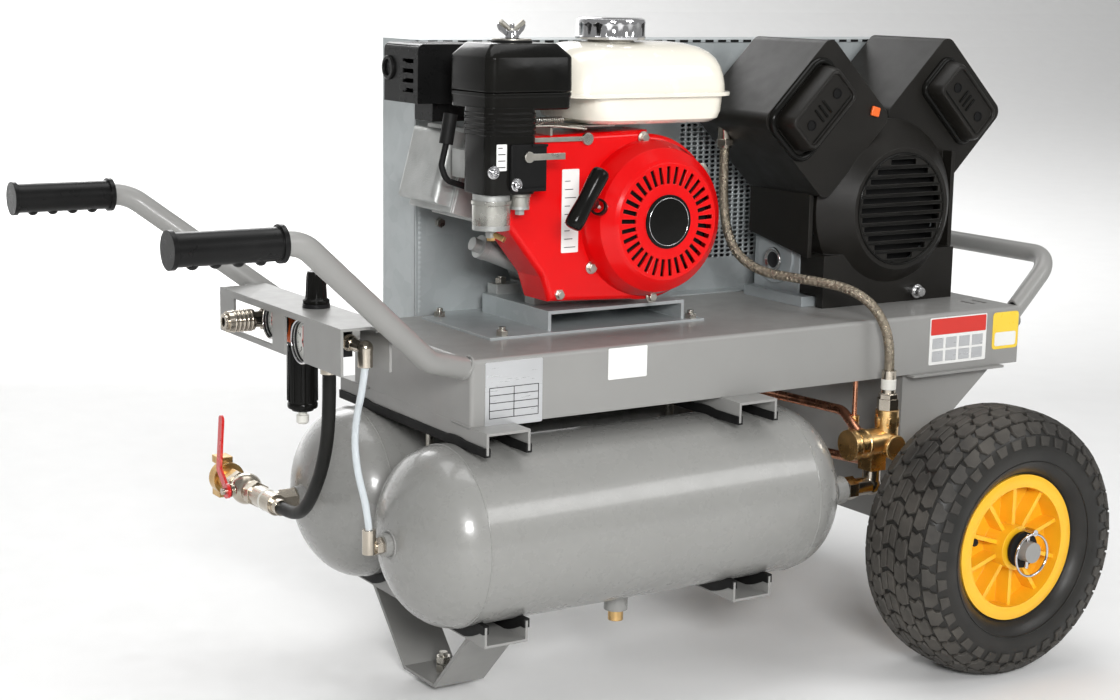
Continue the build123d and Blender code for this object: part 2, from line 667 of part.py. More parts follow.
def housing_outline():
    """Outline of the blower housing seen along the crankshaft."""
    corner = Polyline((283, 656), (122, 652), (92, 622), (92, 552), (140, 491), (150, 462),
                      (283, 456), close=True)
    plane = Plane(origin=(0, blower_front, 0), x_dir=(1, 0, 0), z_dir=(0, -1, 0))
    disc = Pos(engine_x, engine_z) * Circle(98)
    return plane, make_face(corner) + disc


def blower_housing():
    """Red pressed housing around the flywheel fan, open at the back and at the fan inlet."""
    plane, outline = housing_outline()
    depth = blower_back - blower_front
    shell = extrude(plane * outline, -depth)
    shell = fillet(shell.faces().sort_by(Axis.Y)[0].edges(), 7)
    inner = extrude(plane * offset(outline, -2.5, kind=Kind.INTERSECTION), -depth - 1)
    shell -= Pos(0, 2.5, 0) * inner
    return shell - rod((engine_x, blower_front - 1, engine_z), (engine_x, blower_front + 4, engine_z), 80)


def recoil_cover():
    """Red recoil starter dome with radial slots and a plain centre badge."""
    depth = blower_front - recoil_front
    outer = [(0, 0), (0, 92), (8, 91), (28, 84), (depth - 3, 72), (depth, 68), (depth, 0)]
    inner = [(-1, 0), (-1, 89), (8, 88), (27, 81), (depth - 6, 70), (depth - 3, 66), (depth - 3, 0)]
    base = (engine_x, blower_front, engine_z)
    dome = turned(base, (0, -1, 0), outer) - turned(base, (0, -1, 0), inner)
    slots = []
    slot_count = 33
    for step in range(slot_count):
        slot = block(-2.5, 2.5, -8, 8, 44, 64)
        turn = Rot(0, step * 360 / slot_count, 0)
        slots.append(Pos(engine_x, recoil_front, engine_z) * (turn * slot))
    dome -= slots
    dome += rod((engine_x, recoil_front + 1, engine_z), (engine_x, recoil_front - 2, engine_z), 31)
    return dome - rod(grip_root, grip_seat, 7)


def recoil_grip():
    """Starter grip: a T with a tapered bar and the first stretch of rope."""
    centre = Vector(*grip_seat)
    along = Vector(0.52, 0, 0.85) * 38
    shape = rod(tuple(centre - along), tuple(centre + along), 9.5)
    start = centre + (Vector(*grip_root) - centre).normalized() * 26
    shape += rod(tuple(centre), tuple(start), 6.5)
    return shape + rod(tuple(start), grip_root, 2)


def fuel_tank():
    """White fuel tank: two halves with a seam lip, and a filler neck."""
    x0, x1, y0, y1 = 163, 387, -88, 62
    lower = block(x0, x1, y0, y1, 663, 698)
    lower = fillet(lower.edges().filter_by(Axis.Z), 28)
    lower = fillet(lower.faces().sort_by(Axis.Z)[0].edges(), 14)
    upper = fillet(block(x0, x1, y0, y1, 698, 757).edges().filter_by(Axis.Z), 28)
    upper = fillet(upper.faces().sort_by(Axis.Z)[-1].edges(), 18)
    lip = fillet(block(x0 - 6, x1 + 6, y0 - 6, y1 + 6, 696, 700).edges().filter_by(Axis.Z), 32)
    cavity = fillet(block(x0 + 3, x1 - 3, y0 + 3, y1 - 3, 666, 754).edges(), 14)
    cap_x, cap_y = fuel_cap_at
    shape = lower + upper + lip + rod((cap_x, cap_y, 750), (cap_x, cap_y, 772), 24)
    return shape - cavity - rod((cap_x, cap_y, 740), (cap_x, cap_y, 780), 20)


def fuel_cap():
    """Chromed filler cap over the neck."""
    x, y = fuel_cap_at
    cap = turned((x, y, 758.5), (0, 0, 1), [(0, 25), (0, 34), (8, 36), (22, 36), (26, 32), (26, 0),
                                           (22, 0), (22, 25)])
    return cap


def air_cleaner():
    """Black air cleaner cover, a box with a chamfered top, open below."""
    x0, x1, y0, y1 = 44, 155, -100, -5
    box = block(x0, x1, y0, y1, 688, 757)
    box = chamfer(box.faces().sort_by(Axis.Z)[-1].edges(), 14)
    box = fillet(box.edges().filter_by(Axis.Z), 5)
    return box - block(x0 + 3, x1 - 3, y0 + 3, y1 - 3, 687, 740)


def intake_duct():
    """Black housing below the air cleaner that covers the carburettor, with the lever panel."""
    duct = fillet(block(44, 108, -100, -38, 594, 687.7).edges().filter_by(Axis.Z), 6)
    duct += block(70, 116, -104, -88, 596, 648)
    duct += block(46, 152, -97, -8, 684, 687.7)
    duct -= block(48, 104, -94, -42, 593, 680)
    duct -= block(59, 89, -50, -30, 593, 637)
    return duct - block(89, 130, -61, -3, 540, 660) - block(84, 117, -99, -87, 600, 644)


def carburettor():
    """Carburettor body, float bowl with its drain, and sediment cup."""
    body = block(50, 90, -88, -46, 592, 640) + rod((64, -72, 552), (64, -72, 592), 21)
    body += hex_bar((64, -72, 543), (64, -72, 552), 12)
    body += rod((96, -80, 574), (96, -80, 592), 11) + hex_bar((96, -80, 568), (96, -80, 574), 10)
    return body + block(60, 88, -46, 10, 604, 636)


def choke_lever():
    """Choke lever on the panel's face."""
    lever = rod((92, -104.4, 634), (92, -107.4, 634), 6) + block(92, 138, -107.4, -104.4, 630.5, 637.5)
    return lever


def throttle_lever():
    """Throttle lever above the blower housing's front."""
    lever = rod((196, -64.5, 648), (196, -61, 648), 7)
    return lever + block(122, 196, -64.5, -62, 646, 651)


def muffler():
    """Louvred black muffler guard and the muffler inside it."""
    x0, x1, y0, y1, z0, z1 = 26, 122, 30, 112, 685, 752
    guard = block(x0, x1, y0, y1, z0, z1)
    guard = fillet(guard.faces().sort_by(Axis.Z)[-1].edges().filter_by(Axis.Y), 8)
    guard -= block(x0 + 2, x1 - 2, y0 + 2, y1 - 2, z0 - 1, z1 - 2)
    for louvre in range(6):
        guard -= block(x0 + 14 + louvre * 12, x0 + 19 + louvre * 12, y0 + 12, y1 - 12, z1 - 4, z1 + 1)
    for louvre in range(4):
        z = z0 + 12 + louvre * 11
        guard -= block(x0 - 1, x0 + 4, y0 + 10, y0 + 36, z, z + 5)
    can = block(x0 + 12, x1 - 10, y0 + 10, y1 - 8, z0 + 6, z1 - 10)
    can += block(x0 + 30, x1 - 24, y0 + 20, y1 - 20, z0 - 22, z0 + 8)
    return [guard, can - engine_block() - rocker_cover()]


def spark_plug_lead():
    """Spark plug cap and its lead, looped beside the cylinder head."""
    cap = rod((44, -4, 642), (50, -4, 676), 8)
    lead = tube([(44, -4, 642), (36, -8, 618), (40, -12, 602), (80, 1, 590), (128, 8, 586)],
                [12, 12, 30], 3.5)
    return [cap, lead - cap - engine_block()]


def oil_filler_cap():
    """Grey oil filler cap with a grip bar."""
    start = Vector(*filler_end)
    out = (start - Vector(*filler_start)).normalized()
    face = start + out * 0.3
    cap = rod(tuple(face), tuple(start + out * 9), 14)
    return cap + rod(tuple(start + out * 9), tuple(start + out * 19), 8)


def engine_crankshaft():
    """Crankshaft with its webs, crank pin and the flywheel fan."""
    x, z, r = engine_x, engine_z, shaft_radius
    shaft = rod((x, -52, z), (x, pulley_y + 18, z), r)
    for web_y in (38, 80):
        shaft += rod((x, web_y, z), (x, web_y + 12, z), 36)
    shaft -= block(x - 14, x + 14, 50, 80, z - 12, z + 12)
    shaft += rod((x + 22, 44, z), (x + 22, 86, z), 11)
    fan = rod((x, -28, z), (x, -20, z), 78)
    for step in range(16):
        blade = block(-1.2, 1.2, -44, -26, 44, 76)
        fan += Pos(x, 0, z) * (Rot(0, 22.5 * step, 0) * blade)
    return shaft + fan


def engine_mount():
    """Channel under the engine and the sliding plate that tensions the belts."""
    x0, x1, y0, y1, z0, z1 = 163, 357, -37, 116, deck_top + 3, engine_base_z
    channel = block(x0, x1, y0, y1, z0, z1) - block(x0 + 4, x1 - 4, y0 - 1, y1 + 1, z0 - 1, z1 - 4)
    plate = block(79, 380, -48, 116, deck_top, deck_top + 3)
    return [channel, plate]


def grooved_pulley(x, z, radius):
    """Pulley with two belt grooves."""
    width = pulley_width
    wheel = rod((x, pulley_y - width / 2, z), (x, pulley_y + width / 2, z), radius)
    for offset_y in belt_offsets:
        y = pulley_y + offset_y
        wheel -= ring((x, y - 5.5, z), (x, y + 5.5, z), radius + 1, radius - groove_depth)
    return wheel


def drive_pulley():
    """Small pulley on the engine's shaft."""
    x, z = engine_x, engine_z
    wheel = grooved_pulley(x, z, drive_pulley_radius)
    return wheel - rod((x, 100, z), (x, 260, z), shaft_radius)


def drive_belts():
    """Two belts round both pulleys."""
    belts = []
    for offset_y in belt_offsets:
        y = pulley_y + offset_y - 4.8
        plane = Plane(origin=(0, y, 0), x_dir=(1, 0, 0), z_dir=(0, -1, 0))
        rings = []
        for extra in (belt_thickness, 0):
            ends = [(engine_x, engine_z, drive_pulley_radius), (pump_x, pump_z, flywheel_radius)]
            circles = [Pos(x, z) * Circle(r - groove_depth + 0.5 + extra) for x, z, r in ends]
            rings.append(make_hull(circles[0].edges() + circles[1].edges()))
        belts.append(extrude(plane * (rings[0] - rings[1]), -9.6))
    return belts


def guard_back_plate():
    """Plate between the belts and the machines, standing behind the deck's edge."""
    y0, y1 = guard_front, guard_front + guard_sheet
    plate = block(guard_start, guard_stop, y0, y1, guard_bottom, guard_top)
    plate += block(guard_start + 30, guard_stop - 90, 118, y0, deck_top, deck_top + 2)
    plate -= rod((engine_x, y0 - 1, engine_z), (engine_x, y1 + 1, engine_z), 32)
    return plate - rod((pump_x, y0 - 1, pump_z), (pump_x, y1 + 1, pump_z), 46)


def guard_cover():
    """Outer sheet box over the pulleys and belts."""
    y0, y1 = guard_front + guard_sheet, guard_front + guard_depth
    s = guard_sheet
    box = block(guard_start, guard_stop, y0, y1, guard_bottom, guard_top)
    box -= block(guard_start + s, guard_stop - s, y0 - 1, y1 - s, guard_bottom + s, guard_top - s)
    for slot in range(34):
        x = guard_start + 40 + slot * 21.5
        box -= block(x, x + 14, y1 - s - 1, y1 + 1, guard_top - 9, guard_top - 5)
    return box


# ---- pump ----
def pump_crankcase():
    """Crankcase with foot rails, side cover, and the two finned cylinders with their heads."""
    case = block(566, 790, 2, 94, deck_top + 12, 548)
    for x0, x1 in ((552, 584), (772, 804)):
        case += block(x0, x1, -22, 98, deck_top, deck_top + 13)
    case += rod((563, 50, 478), (566, 50, 478), 36) + rod((554, 50, 474), (566, 50, 474), 11)
    for side, y0 in ((-1, 24), (1, 44)):
        cylinder = rod((0, y0 + 24, 10), (0, y0 + 24, 205), 36)
        for fin in range(8):
            cylinder += rod((0, y0 + 24, 108 + fin * 10), (0, y0 + 24, 111 + fin * 10), 48)
        cylinder += block(-50, 50, y0 - 26, y0 + 74 - 26, 186, 214)
        case += Pos(pump_x, 0, pump_z) * (Rot(0, side * head_angle, 0) * cylinder)
    case += rod((pump_x, 94, pump_z - 30), (pump_x, 110, pump_z - 30), 40)
    bore = rod((pump_x, -10, pump_z), (pump_x, 120, pump_z), pump_shaft_radius + bore_clearance)
    return case - bore


def head_box(side, y0, y1, half, distance):
    """A box round one cylinder head, turned with the cylinder."""
    box = block(-half, half, y0, y1, distance - half, distance + half)
    return Pos(pump_x, 0, pump_z) * (Rot(0, side * head_angle, 0) * box)


def pump_shroud():
    """Black moulded shroud: a box round each head, a round grille in front and side skirts."""
    t = shroud_wall
    base = (pump_x, 0, pump_z)
    fronts = {-1: left_head_front, 1: right_head_front}

    def heads(inset):
        boxes = []
        for side, front in fronts.items():
            back = front + shroud_back + 48 + (2 if inset else 0)
            box = head_box(side, front + inset, back, head_half - inset, head_distance)
            boxes.append(fillet(box.edges().filter_by(Axis.Y), 14 - inset))
        return boxes

    left, right = heads(0)
    shroud = left + right
    shroud += turned(base, (0, -1, 0), [(-2, 0), (-2, 113), (28, 113), (62, 78), (62, 0)])
    shroud += block(568, 788, -44, 2, deck_top, 488)
    for x in (556, 794):
        outline = Polyline((-26, 484), (96, 506), (96, 612), (-26, 612), close=True)
        shroud += extrude(Plane(origin=(x, 0, 0), x_dir=(0, 1, 0), z_dir=(1, 0, 0)) * make_face(outline), 6)
    for cavity in heads(t):
        shroud -= cavity
    for side, front in fronts.items():
        throat = block(-58, 58, max(front + t, -24), shroud_back + front + 50, 30, head_distance)
        shroud -= Pos(pump_x, 0, pump_z) * (Rot(0, side * head_angle, 0) * throat)
    shroud -= turned(base, (0, -1, 0), [(-3, 0), (-3, 110), (26, 110), (59, 75), (59, 0)])
    shroud -= block(571, 785, -41, 3, deck_top - 1, 485)
    shroud -= block(562, 794, -20, 97, 510, 600)
    for slot in range(11):
        z = pump_z - 63.5 + slot * 12
        half_width = (67**2 - max(abs(z - pump_z), abs(z + 7 - pump_z))**2)**0.5
        shroud -= block(pump_x - half_width, pump_x + half_width, -64, -50, z, z + 7)
    for x0, x1 in ((551, 585), (771, 805)):
        shroud -= block(x0, x1, -31, 10, deck_top - 1, deck_top + 14)
    return shroud - rod((484, 60, 600), (484, 60, 650), 10)


def intake_filters():
    """Intake filter cover on the front of each head box."""
    covers = []
    for side, front in ((-1, left_head_front), (1, right_head_front)):
        cover = block(-51, 51, front - 30, front, 186 - 28, 186 + 28)
        cover = fillet(cover.edges().filter_by(Axis.Y), 9)
        cover = chamfer(cover.faces().sort_by(Axis.Y)[0].edges(), 4)
        cover -= block(-40, 40, front - 31, front - 27, 186 - 18, 186 + 18)
        for hole in (-24, 24):
            cover -= rod((hole, front - 40, 186), (hole, front - 14, 186), 5.5)
        covers.append(Pos(pump_x, 0, pump_z) * (Rot(0, side * head_angle, 0) * cover))
    return covers


def pump_crankshaft():
    """Pump crankshaft."""
    return rod((pump_x, 6, pump_z), (pump_x, pulley_y + 20, pump_z), pump_shaft_radius)


def pump_flywheel():
    """Flywheel pulley with fan spokes."""
    x, z = pump_x, pump_z
    wheel = grooved_pulley(x, z, flywheel_radius)
    wheel -= ring((x, 100, z), (x, 260, z), flywheel_radius - 18, 28)
    for step in range(5):
        spoke = block(-11, 11, pulley_y - 7, pulley_y + 7, 24, flywheel_radius - 14)
        wheel += Pos(x, 0, z) * (Rot(0, 72 * step, 0) * spoke)
    return wheel - rod((x, 100, z), (x, 260, z), pump_shaft_radius)


# ---- export ----
def export(name, shape):
    """Write one node: a single solid, or a group of separate solids."""
    solids = shape if isinstance(shape, list) else [shape]
    moved = [Pos(-origin_x, 0, 0) * solid for solid in solids]
    node = moved[0] if len(moved) == 1 else Compound(children=moved)
    export_step(node, f"parts/{name}.step")


nodes = {
    "deck": deck, "cradle_channels": cradle_channels, "cradle_edging": cradle_edging,
    "frame_bolts": frame_bolts, "rubber_foot": rubber_foot, "handle_tubes": handle_tubes,
    "handle_grips": handle_grips, "front_loop_handle": front_loop_handle,
    "wheel_carrier": wheel_carrier, "axle": axle, "ring_pins": ring_pins,
    "right_tyre": lambda: tyre(-1), "left_tyre": lambda: tyre(1),
    "right_rim": lambda: rim(-1), "left_rim": lambda: rim(1),
    "front_tank": front_tank, "rear_tank": rear_tank,
    "front_drain_screw": lambda: drain_screw(-1), "rear_drain_screw": lambda: drain_screw(1),
    "copper_pipes": copper_pipes, "unloader_valve": unloader_valve, "air_fittings": air_fittings,
    "discharge_hose": discharge_hose, "outlet_hose": outlet_hose, "nylon_tube": nylon_tube,
    "ball_valve": lambda: [ball_valve(), claw_coupling()], "valve_lever": valve_lever,
    "regulator_bracket": regulator_bracket, "regulator_body": regulator_body,
    "regulator_knob": regulator_knob, "filter_bowl": filter_bowl, "bowl_drain": bowl_drain,
    "pressure_gauges": pressure_gauges,
    "small_gauge_needle": lambda: gauge_needle(small_gauge_y, 449, 12),
    "large_gauge_needle": lambda: gauge_needle(large_gauge_y, 440, 17),
    "quick_coupling": quick_coupling, "coupling_sleeve": coupling_sleeve,
    "engine_block": lambda: [engine_block(), rocker_cover()], "blower_housing": blower_housing,
    "recoil_cover": recoil_cover, "recoil_grip": recoil_grip, "fuel_tank": fuel_tank,
    "fuel_cap": fuel_cap, "air_cleaner": air_cleaner, "intake_duct": intake_duct,
    "carburettor": carburettor, "choke_lever": choke_lever, "throttle_lever": throttle_lever,
    "muffler": muffler, "spark_plug_lead": spark_plug_lead, "oil_filler_cap": oil_filler_cap,
    "engine_crankshaft": lambda: [engine_crankshaft(), drive_pulley()],
    "engine_mount": engine_mount, "drive_belts": drive_belts,
    "guard_back_plate": guard_back_plate, "guard_cover": guard_cover,
    "pump_crankcase": pump_crankcase, "pump_shroud": pump_shroud, "intake_filters": intake_filters,
    "pump_flywheel": lambda: [pump_flywheel(), pump_crankshaft()],
}
for name, make in nodes.items():
    export(name, make())
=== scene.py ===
import math
import random

import bmesh
import bpy
import numpy as np
from mathutils import Matrix, Vector


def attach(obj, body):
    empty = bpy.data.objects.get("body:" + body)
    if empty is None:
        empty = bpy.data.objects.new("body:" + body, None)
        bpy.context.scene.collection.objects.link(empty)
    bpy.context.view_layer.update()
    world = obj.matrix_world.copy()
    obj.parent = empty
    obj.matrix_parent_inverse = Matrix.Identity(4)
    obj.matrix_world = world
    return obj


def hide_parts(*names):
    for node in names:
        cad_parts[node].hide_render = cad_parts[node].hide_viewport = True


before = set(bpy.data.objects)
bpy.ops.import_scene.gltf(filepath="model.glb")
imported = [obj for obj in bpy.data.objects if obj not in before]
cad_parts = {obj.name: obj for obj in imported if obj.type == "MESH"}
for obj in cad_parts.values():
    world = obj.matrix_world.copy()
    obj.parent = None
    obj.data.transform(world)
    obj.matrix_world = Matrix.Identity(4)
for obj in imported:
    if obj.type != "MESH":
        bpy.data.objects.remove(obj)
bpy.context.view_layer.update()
random.seed(7)

# Places and sizes are in millimetres, counted along X from the deck's handle end, from the middle
# plane and from the floor, as in the part's own drawing. at() turns one into the frame's metres.
ORIGIN_X = 265.0
MM = 0.001


def at(x, y, z):
    """A point of the drawing, in the frame's metres."""
    return Vector(((x - ORIGIN_X) * MM, y * MM, z * MM))


# ---------------------------------------------------------------- materials
class Nodes:
    """A material's node tree, with short ways to add and join nodes."""

    def __init__(self, name, slot):
        self.material = bpy.data.materials.new(name)
        self.material.use_nodes = True
        self.material["slot"] = slot
        self.tree = self.material.node_tree
        self.shader = self.tree.nodes["Principled BSDF"]
        self.place = self.add("ShaderNodeTexCoord").outputs["Object"]

    def add(self, kind, **settings):
        """A new node. Each setting is the value of an input, or else an attribute."""
        node = self.tree.nodes.new(kind)
        for key, value in settings.items():
            if key in node.inputs:
                node.inputs[key].default_value = value
            else:
                setattr(node, key, value)
        return node

    def join(self, output, socket):
        """A link from an output to an input."""
        self.tree.links.new(output, socket)

    def noise(self, scale, detail=3.0, roughness=0.5, stretch=None):
        """A noise from 0 to 1, stretched along the axes where asked."""
        node = self.add("ShaderNodeTexNoise", Scale=scale, Detail=detail, Roughness=roughness)
        source = self.place
        if stretch:
            mapping = self.add("ShaderNodeMapping", Scale=stretch)
            self.join(self.place, mapping.inputs["Vector"])
            source = mapping.outputs["Vector"]
        self.join(source, node.inputs["Vector"])
        return node.outputs["Fac"]

    def cells(self, scale):
        """A pattern of irregular cells, as on zinc-coated sheet."""
        node = self.add("ShaderNodeTexVoronoi", Scale=scale)
        self.join(self.place, node.inputs["Vector"])
        return node

    def spread(self, value, low, high, from_low=0.3, from_high=0.7):
        """The value, carried from one range to another."""
        ends = {"From Min": from_low, "From Max": from_high, "To Min": low, "To Max": high}
        node = self.add("ShaderNodeMapRange", **ends)
        self.join(value, node.inputs["Value"])
        return node.outputs["Result"]

    def feed(self, value, socket):
        """Sets a socket to a number or colour, or joins another node's output to it."""
        if isinstance(value, bpy.types.NodeSocket):
            self.join(value, socket)
        else:
            socket.default_value = value if isinstance(value, (int, float)) else (*value, 1.0)

    def mix(self, share, first, second):
        """A colour between two, by a share from 0 to 1."""
        node = self.add("ShaderNodeMix", data_type="RGBA")
        self.feed(first, node.inputs[6])
        self.feed(second, node.inputs[7])
        self.join(share, node.inputs[0])
        return node.outputs[2]

    def math(self, operation, first, second):
        """One sum on two values."""
        node = self.add("ShaderNodeMath", operation=operation)
        self.feed(first, node.inputs[0])
        self.feed(second, node.inputs[1])
        return node.outputs[0]

    def bump(self, height, strength, distance, normal=None):
        """The surface normal, tilted by a height."""
        node = self.add("ShaderNodeBump", Strength=strength, Distance=distance)
        self.join(height, node.inputs["Height"])
        if normal is not None:
            self.join(normal, node.inputs["Normal"])
        return node.outputs["Normal"]

    def edges(self, radius):
        """How much a place lies on an edge, from 0 to 1, and the rounded normal there."""
        soft = self.add("ShaderNodeBevel", samples=6, Radius=radius)
        flat = self.add("ShaderNodeNewGeometry")
        product = self.add("ShaderNodeVectorMath", operation="DOT_PRODUCT")
        self.join(soft.outputs["Normal"], product.inputs[0])
        self.join(flat.outputs["Normal"], product.inputs[1])
        return self.spread(product.outputs["Value"], 1.0, 0.0, 0.9, 0.999), soft.outputs["Normal"]


LOOKS = {}


def finish_look(name, slot, colour, roughness, metallic=0.0, mottle=0.08, mottle_scale=14.0,
                rough_spread=0.08, grain=0.15, grain_scale=900.0, grain_depth=0.0002, soften=0.0008,
                worn=None, wear=0.5, coat=0.0, stretch=None, dust=None, dust_share=0.25, **sockets):
    """The usual surface: a mottled colour, uneven gloss, a fine grain, and lighter worn edges."""
    n = Nodes(name, slot)
    dark = tuple(max(0.0, c * (1 - mottle)) for c in colour)
    light = tuple(min(1.0, c * (1 + mottle)) for c in colour)
    shade = n.mix(n.spread(n.noise(mottle_scale, 4.0), 0, 1), dark, light)
    edge, normal = n.edges(soften)
    if dust:
        shade = n.mix(n.spread(n.noise(5.0, 6.0, 0.65), 0, dust_share, 0.45, 0.75), shade, dust)
    if worn:
        patch = n.spread(n.noise(70.0, 4.0), 0, wear, 0.42, 0.62)
        shade = n.mix(n.math("MULTIPLY", edge, patch), shade, worn)
    n.join(shade, n.shader.inputs["Base Color"])
    gloss = n.spread(n.noise(38.0, 5.0, 0.6, stretch), roughness - rough_spread, roughness + rough_spread)
    n.join(gloss, n.shader.inputs["Roughness"])
    n.join(n.bump(n.noise(grain_scale, 2.0, 0.5, stretch), grain, grain_depth, normal),
           n.shader.inputs["Normal"])
    n.shader.inputs["Metallic"].default_value = metallic
    n.shader.inputs["Coat Weight"].default_value = coat
    n.shader.inputs["Coat Roughness"].default_value = 0.06
    for socket, value in sockets.items():
        n.shader.inputs[socket.replace("_", " ")].default_value = value
    LOOKS[name] = n.material
    return n.material


def make_looks():
    """Every material of the machine, by name."""
    finish_look("frame_paint", "frame_paint", (0.262, 0.260, 0.250), 0.40, mottle=0.03,
                grain=0.16, grain_scale=420.0, rough_spread=0.06, worn=(0.42, 0.42, 0.42), wear=0.4,
                coat=0.15, dust=(0.33, 0.325, 0.31), dust_share=0.08, Specular_IOR_Level=0.4)
    finish_look("tank_paint", "frame_paint", (0.250, 0.249, 0.238), 0.28, mottle=0.02, grain=0.06,
                grain_scale=260.0, rough_spread=0.04, coat=0.3)
    finish_look("zinc_bolt", "zinc", (0.48, 0.46, 0.41), 0.30, metallic=1.0, mottle=0.12,
                mottle_scale=90.0, grain=0.2, worn=(0.85, 0.85, 0.83))
    finish_look("bright_steel", "zinc", (0.66, 0.66, 0.66), 0.20, metallic=1.0, mottle=0.05,
                grain=0.25, stretch=(1, 8, 1), worn=(0.9, 0.9, 0.9))
    finish_look("chrome", "chrome", (0.62, 0.62, 0.63), 0.08, metallic=1.0, mottle=0.03,
                rough_spread=0.03, grain=0.05, grain_scale=300.0)
    finish_look("nickel", "nickel", (0.50, 0.45, 0.38), 0.20, metallic=1.0, mottle=0.12,
                mottle_scale=60.0, grain=0.15, worn=(0.78, 0.70, 0.55))
    finish_look("brass", "brass", (0.70, 0.46, 0.20), 0.30, metallic=1.0, mottle=0.22,
                mottle_scale=55.0, grain=0.35, grain_scale=700.0, worn=(0.88, 0.68, 0.38),
                rough_spread=0.12)
    finish_look("copper", "copper", (0.66, 0.30, 0.18), 0.27, metallic=1.0, mottle=0.22,
                mottle_scale=45.0, grain=0.1, rough_spread=0.12)
    finish_look("rubber", "black_rubber", (0.009, 0.009, 0.009), 0.55, mottle=0.3, grain=0.4,
                grain_scale=1300.0, dust=(0.035, 0.033, 0.03), dust_share=0.25, Specular_IOR_Level=0.14)
    finish_look("hose_rubber", "black_rubber", (0.010, 0.010, 0.009), 0.42, mottle=0.25, grain=0.3,
                grain_scale=2200.0, dust=(0.04, 0.038, 0.035), dust_share=0.2, Specular_IOR_Level=0.14)
    finish_look("grip_rubber", "black_rubber", (0.007, 0.007, 0.007), 0.30, mottle=0.25, grain=0.35,
                grain_scale=1500.0, Specular_IOR_Level=0.16)
    finish_look("tyre_rubber", "tyre", (0.013, 0.0125, 0.011), 0.42, mottle=0.25, mottle_scale=30.0,
                grain=0.3, grain_scale=1100.0, dust=(0.05, 0.045, 0.04), dust_share=0.25,
                Specular_IOR_Level=0.35)
    finish_look("tread_rubber", "tyre", (0.030, 0.028, 0.025), 0.62, mottle=0.25, mottle_scale=30.0,
                grain=0.5, grain_scale=1100.0, worn=(0.12, 0.115, 0.10), wear=0.5, soften=0.0014,
                dust=(0.135, 0.122, 0.105), dust_share=0.6, Specular_IOR_Level=0.3)
    finish_look("rim_yellow", "yellow_plastic", (0.88, 0.46, 0.016), 0.36, mottle=0.06, grain=0.2,
                grain_scale=500.0, coat=0.15, worn=(0.90, 0.62, 0.22), wear=0.35,
                Subsurface_Weight=0.05)
    finish_look("braid_core", "braid", (0.10, 0.09, 0.08), 0.5, metallic=0.6, mottle=0.2)
    finish_look("braid_wire", "braid", (0.34, 0.295, 0.23), 0.26, metallic=1.0, mottle=0.15,
                mottle_scale=200.0, grain=0.0)
    finish_look("nylon", "nylon", (0.72, 0.77, 0.80), 0.20, mottle=0.04, grain=0.05,
                Transmission_Weight=0.35, IOR=1.5, coat=0.3)
    finish_look("white_plastic", "nylon", (0.66, 0.65, 0.60), 0.4, mottle=0.06, grain=0.1)
    finish_look("red_dip", "red_plastic", (0.62, 0.012, 0.010), 0.28, mottle=0.08, grain=0.2,
                grain_scale=350.0, coat=0.5)
    finish_look("black_gloss", "black_plastic", (0.006, 0.006, 0.0055), 0.15, mottle=0.2, grain=0.18,
                grain_scale=260.0, worn=(0.03, 0.03, 0.03), dust=(0.05, 0.045, 0.035),
                dust_share=0.10, Specular_IOR_Level=0.12)
    finish_look("black_satin", "black_plastic", (0.010, 0.009, 0.0075), 0.40, mottle=0.18,
                grain=0.45, grain_scale=1500.0, rough_spread=0.06, worn=(0.06, 0.06, 0.056),
                wear=0.5, soften=0.0012, Specular_IOR_Level=0.24)
    finish_look("black_matt", "black_plastic", (0.008, 0.008, 0.008), 0.5, mottle=0.2, grain=0.3,
                Specular_IOR_Level=0.12)
    finish_look("orange_plastic", "regulator", (0.80, 0.13, 0.015), 0.35, mottle=0.06, grain=0.15)
    finish_look("regulator_black", "regulator", (0.012, 0.012, 0.013), 0.38, mottle=0.15, grain=0.3,
                Specular_IOR_Level=0.3)
    finish_look("cast_alloy", "cast_alloy", (0.42, 0.43, 0.42), 0.42, metallic=0.55, mottle=0.14,
                mottle_scale=26.0, grain=0.8, grain_scale=650.0, grain_depth=0.0004,
                worn=(0.72, 0.72, 0.71), rough_spread=0.1, soften=0.0015,
                dust=(0.20, 0.185, 0.16), dust_share=0.35)
    finish_look("cover_steel", "cast_alloy", (0.44, 0.44, 0.41), 0.28, metallic=0.8, mottle=0.10,
                grain=0.25, grain_scale=400.0, dust=(0.28, 0.26, 0.22), dust_share=0.35)
    finish_look("cast_iron", "iron", (0.10, 0.10, 0.10), 0.5, metallic=0.35, mottle=0.2,
                grain=0.8, grain_scale=500.0, grain_depth=0.0005, soften=0.0015)
    finish_look("pump_grey", "iron", (0.34, 0.37, 0.38), 0.40, metallic=0.2, mottle=0.08,
                grain=0.6, grain_scale=420.0, grain_depth=0.0004, coat=0.2, soften=0.0015)
    finish_look("red_paint", "red_paint", (0.66, 0.002, 0.003), 0.20, mottle=0.05, grain=0.12,
                grain_scale=240.0, coat=0.08, worn=(0.85, 0.08, 0.05), wear=0.3, soften=0.0016,
                Specular_IOR_Level=0.25)
    finish_look("cream_paint", "white_paint", (0.80, 0.76, 0.66), 0.22, mottle=0.02, grain=0.12,
                grain_scale=200.0, coat=0.8, soften=0.001)
    finish_look("muffler_black", "black_paint", (0.007, 0.007, 0.007), 0.30, mottle=0.25, grain=0.4,
                grain_scale=600.0, worn=(0.09, 0.085, 0.08), Specular_IOR_Level=0.12)
    finish_look("white_dial", "regulator", (0.72, 0.72, 0.68), 0.35, mottle=0.04, grain=0.05)
    finish_look("label_white", "white_paint", (0.78, 0.78, 0.76), 0.32, mottle=0.03, grain=0.08)
    finish_look("label_silver", "zinc", (0.60, 0.61, 0.62), 0.34, metallic=0.7, mottle=0.05,
                grain=0.3, stretch=(1, 1, 20))
    finish_look("label_yellow", "yellow_plastic", (0.86, 0.60, 0.05), 0.32, mottle=0.03, grain=0.08)
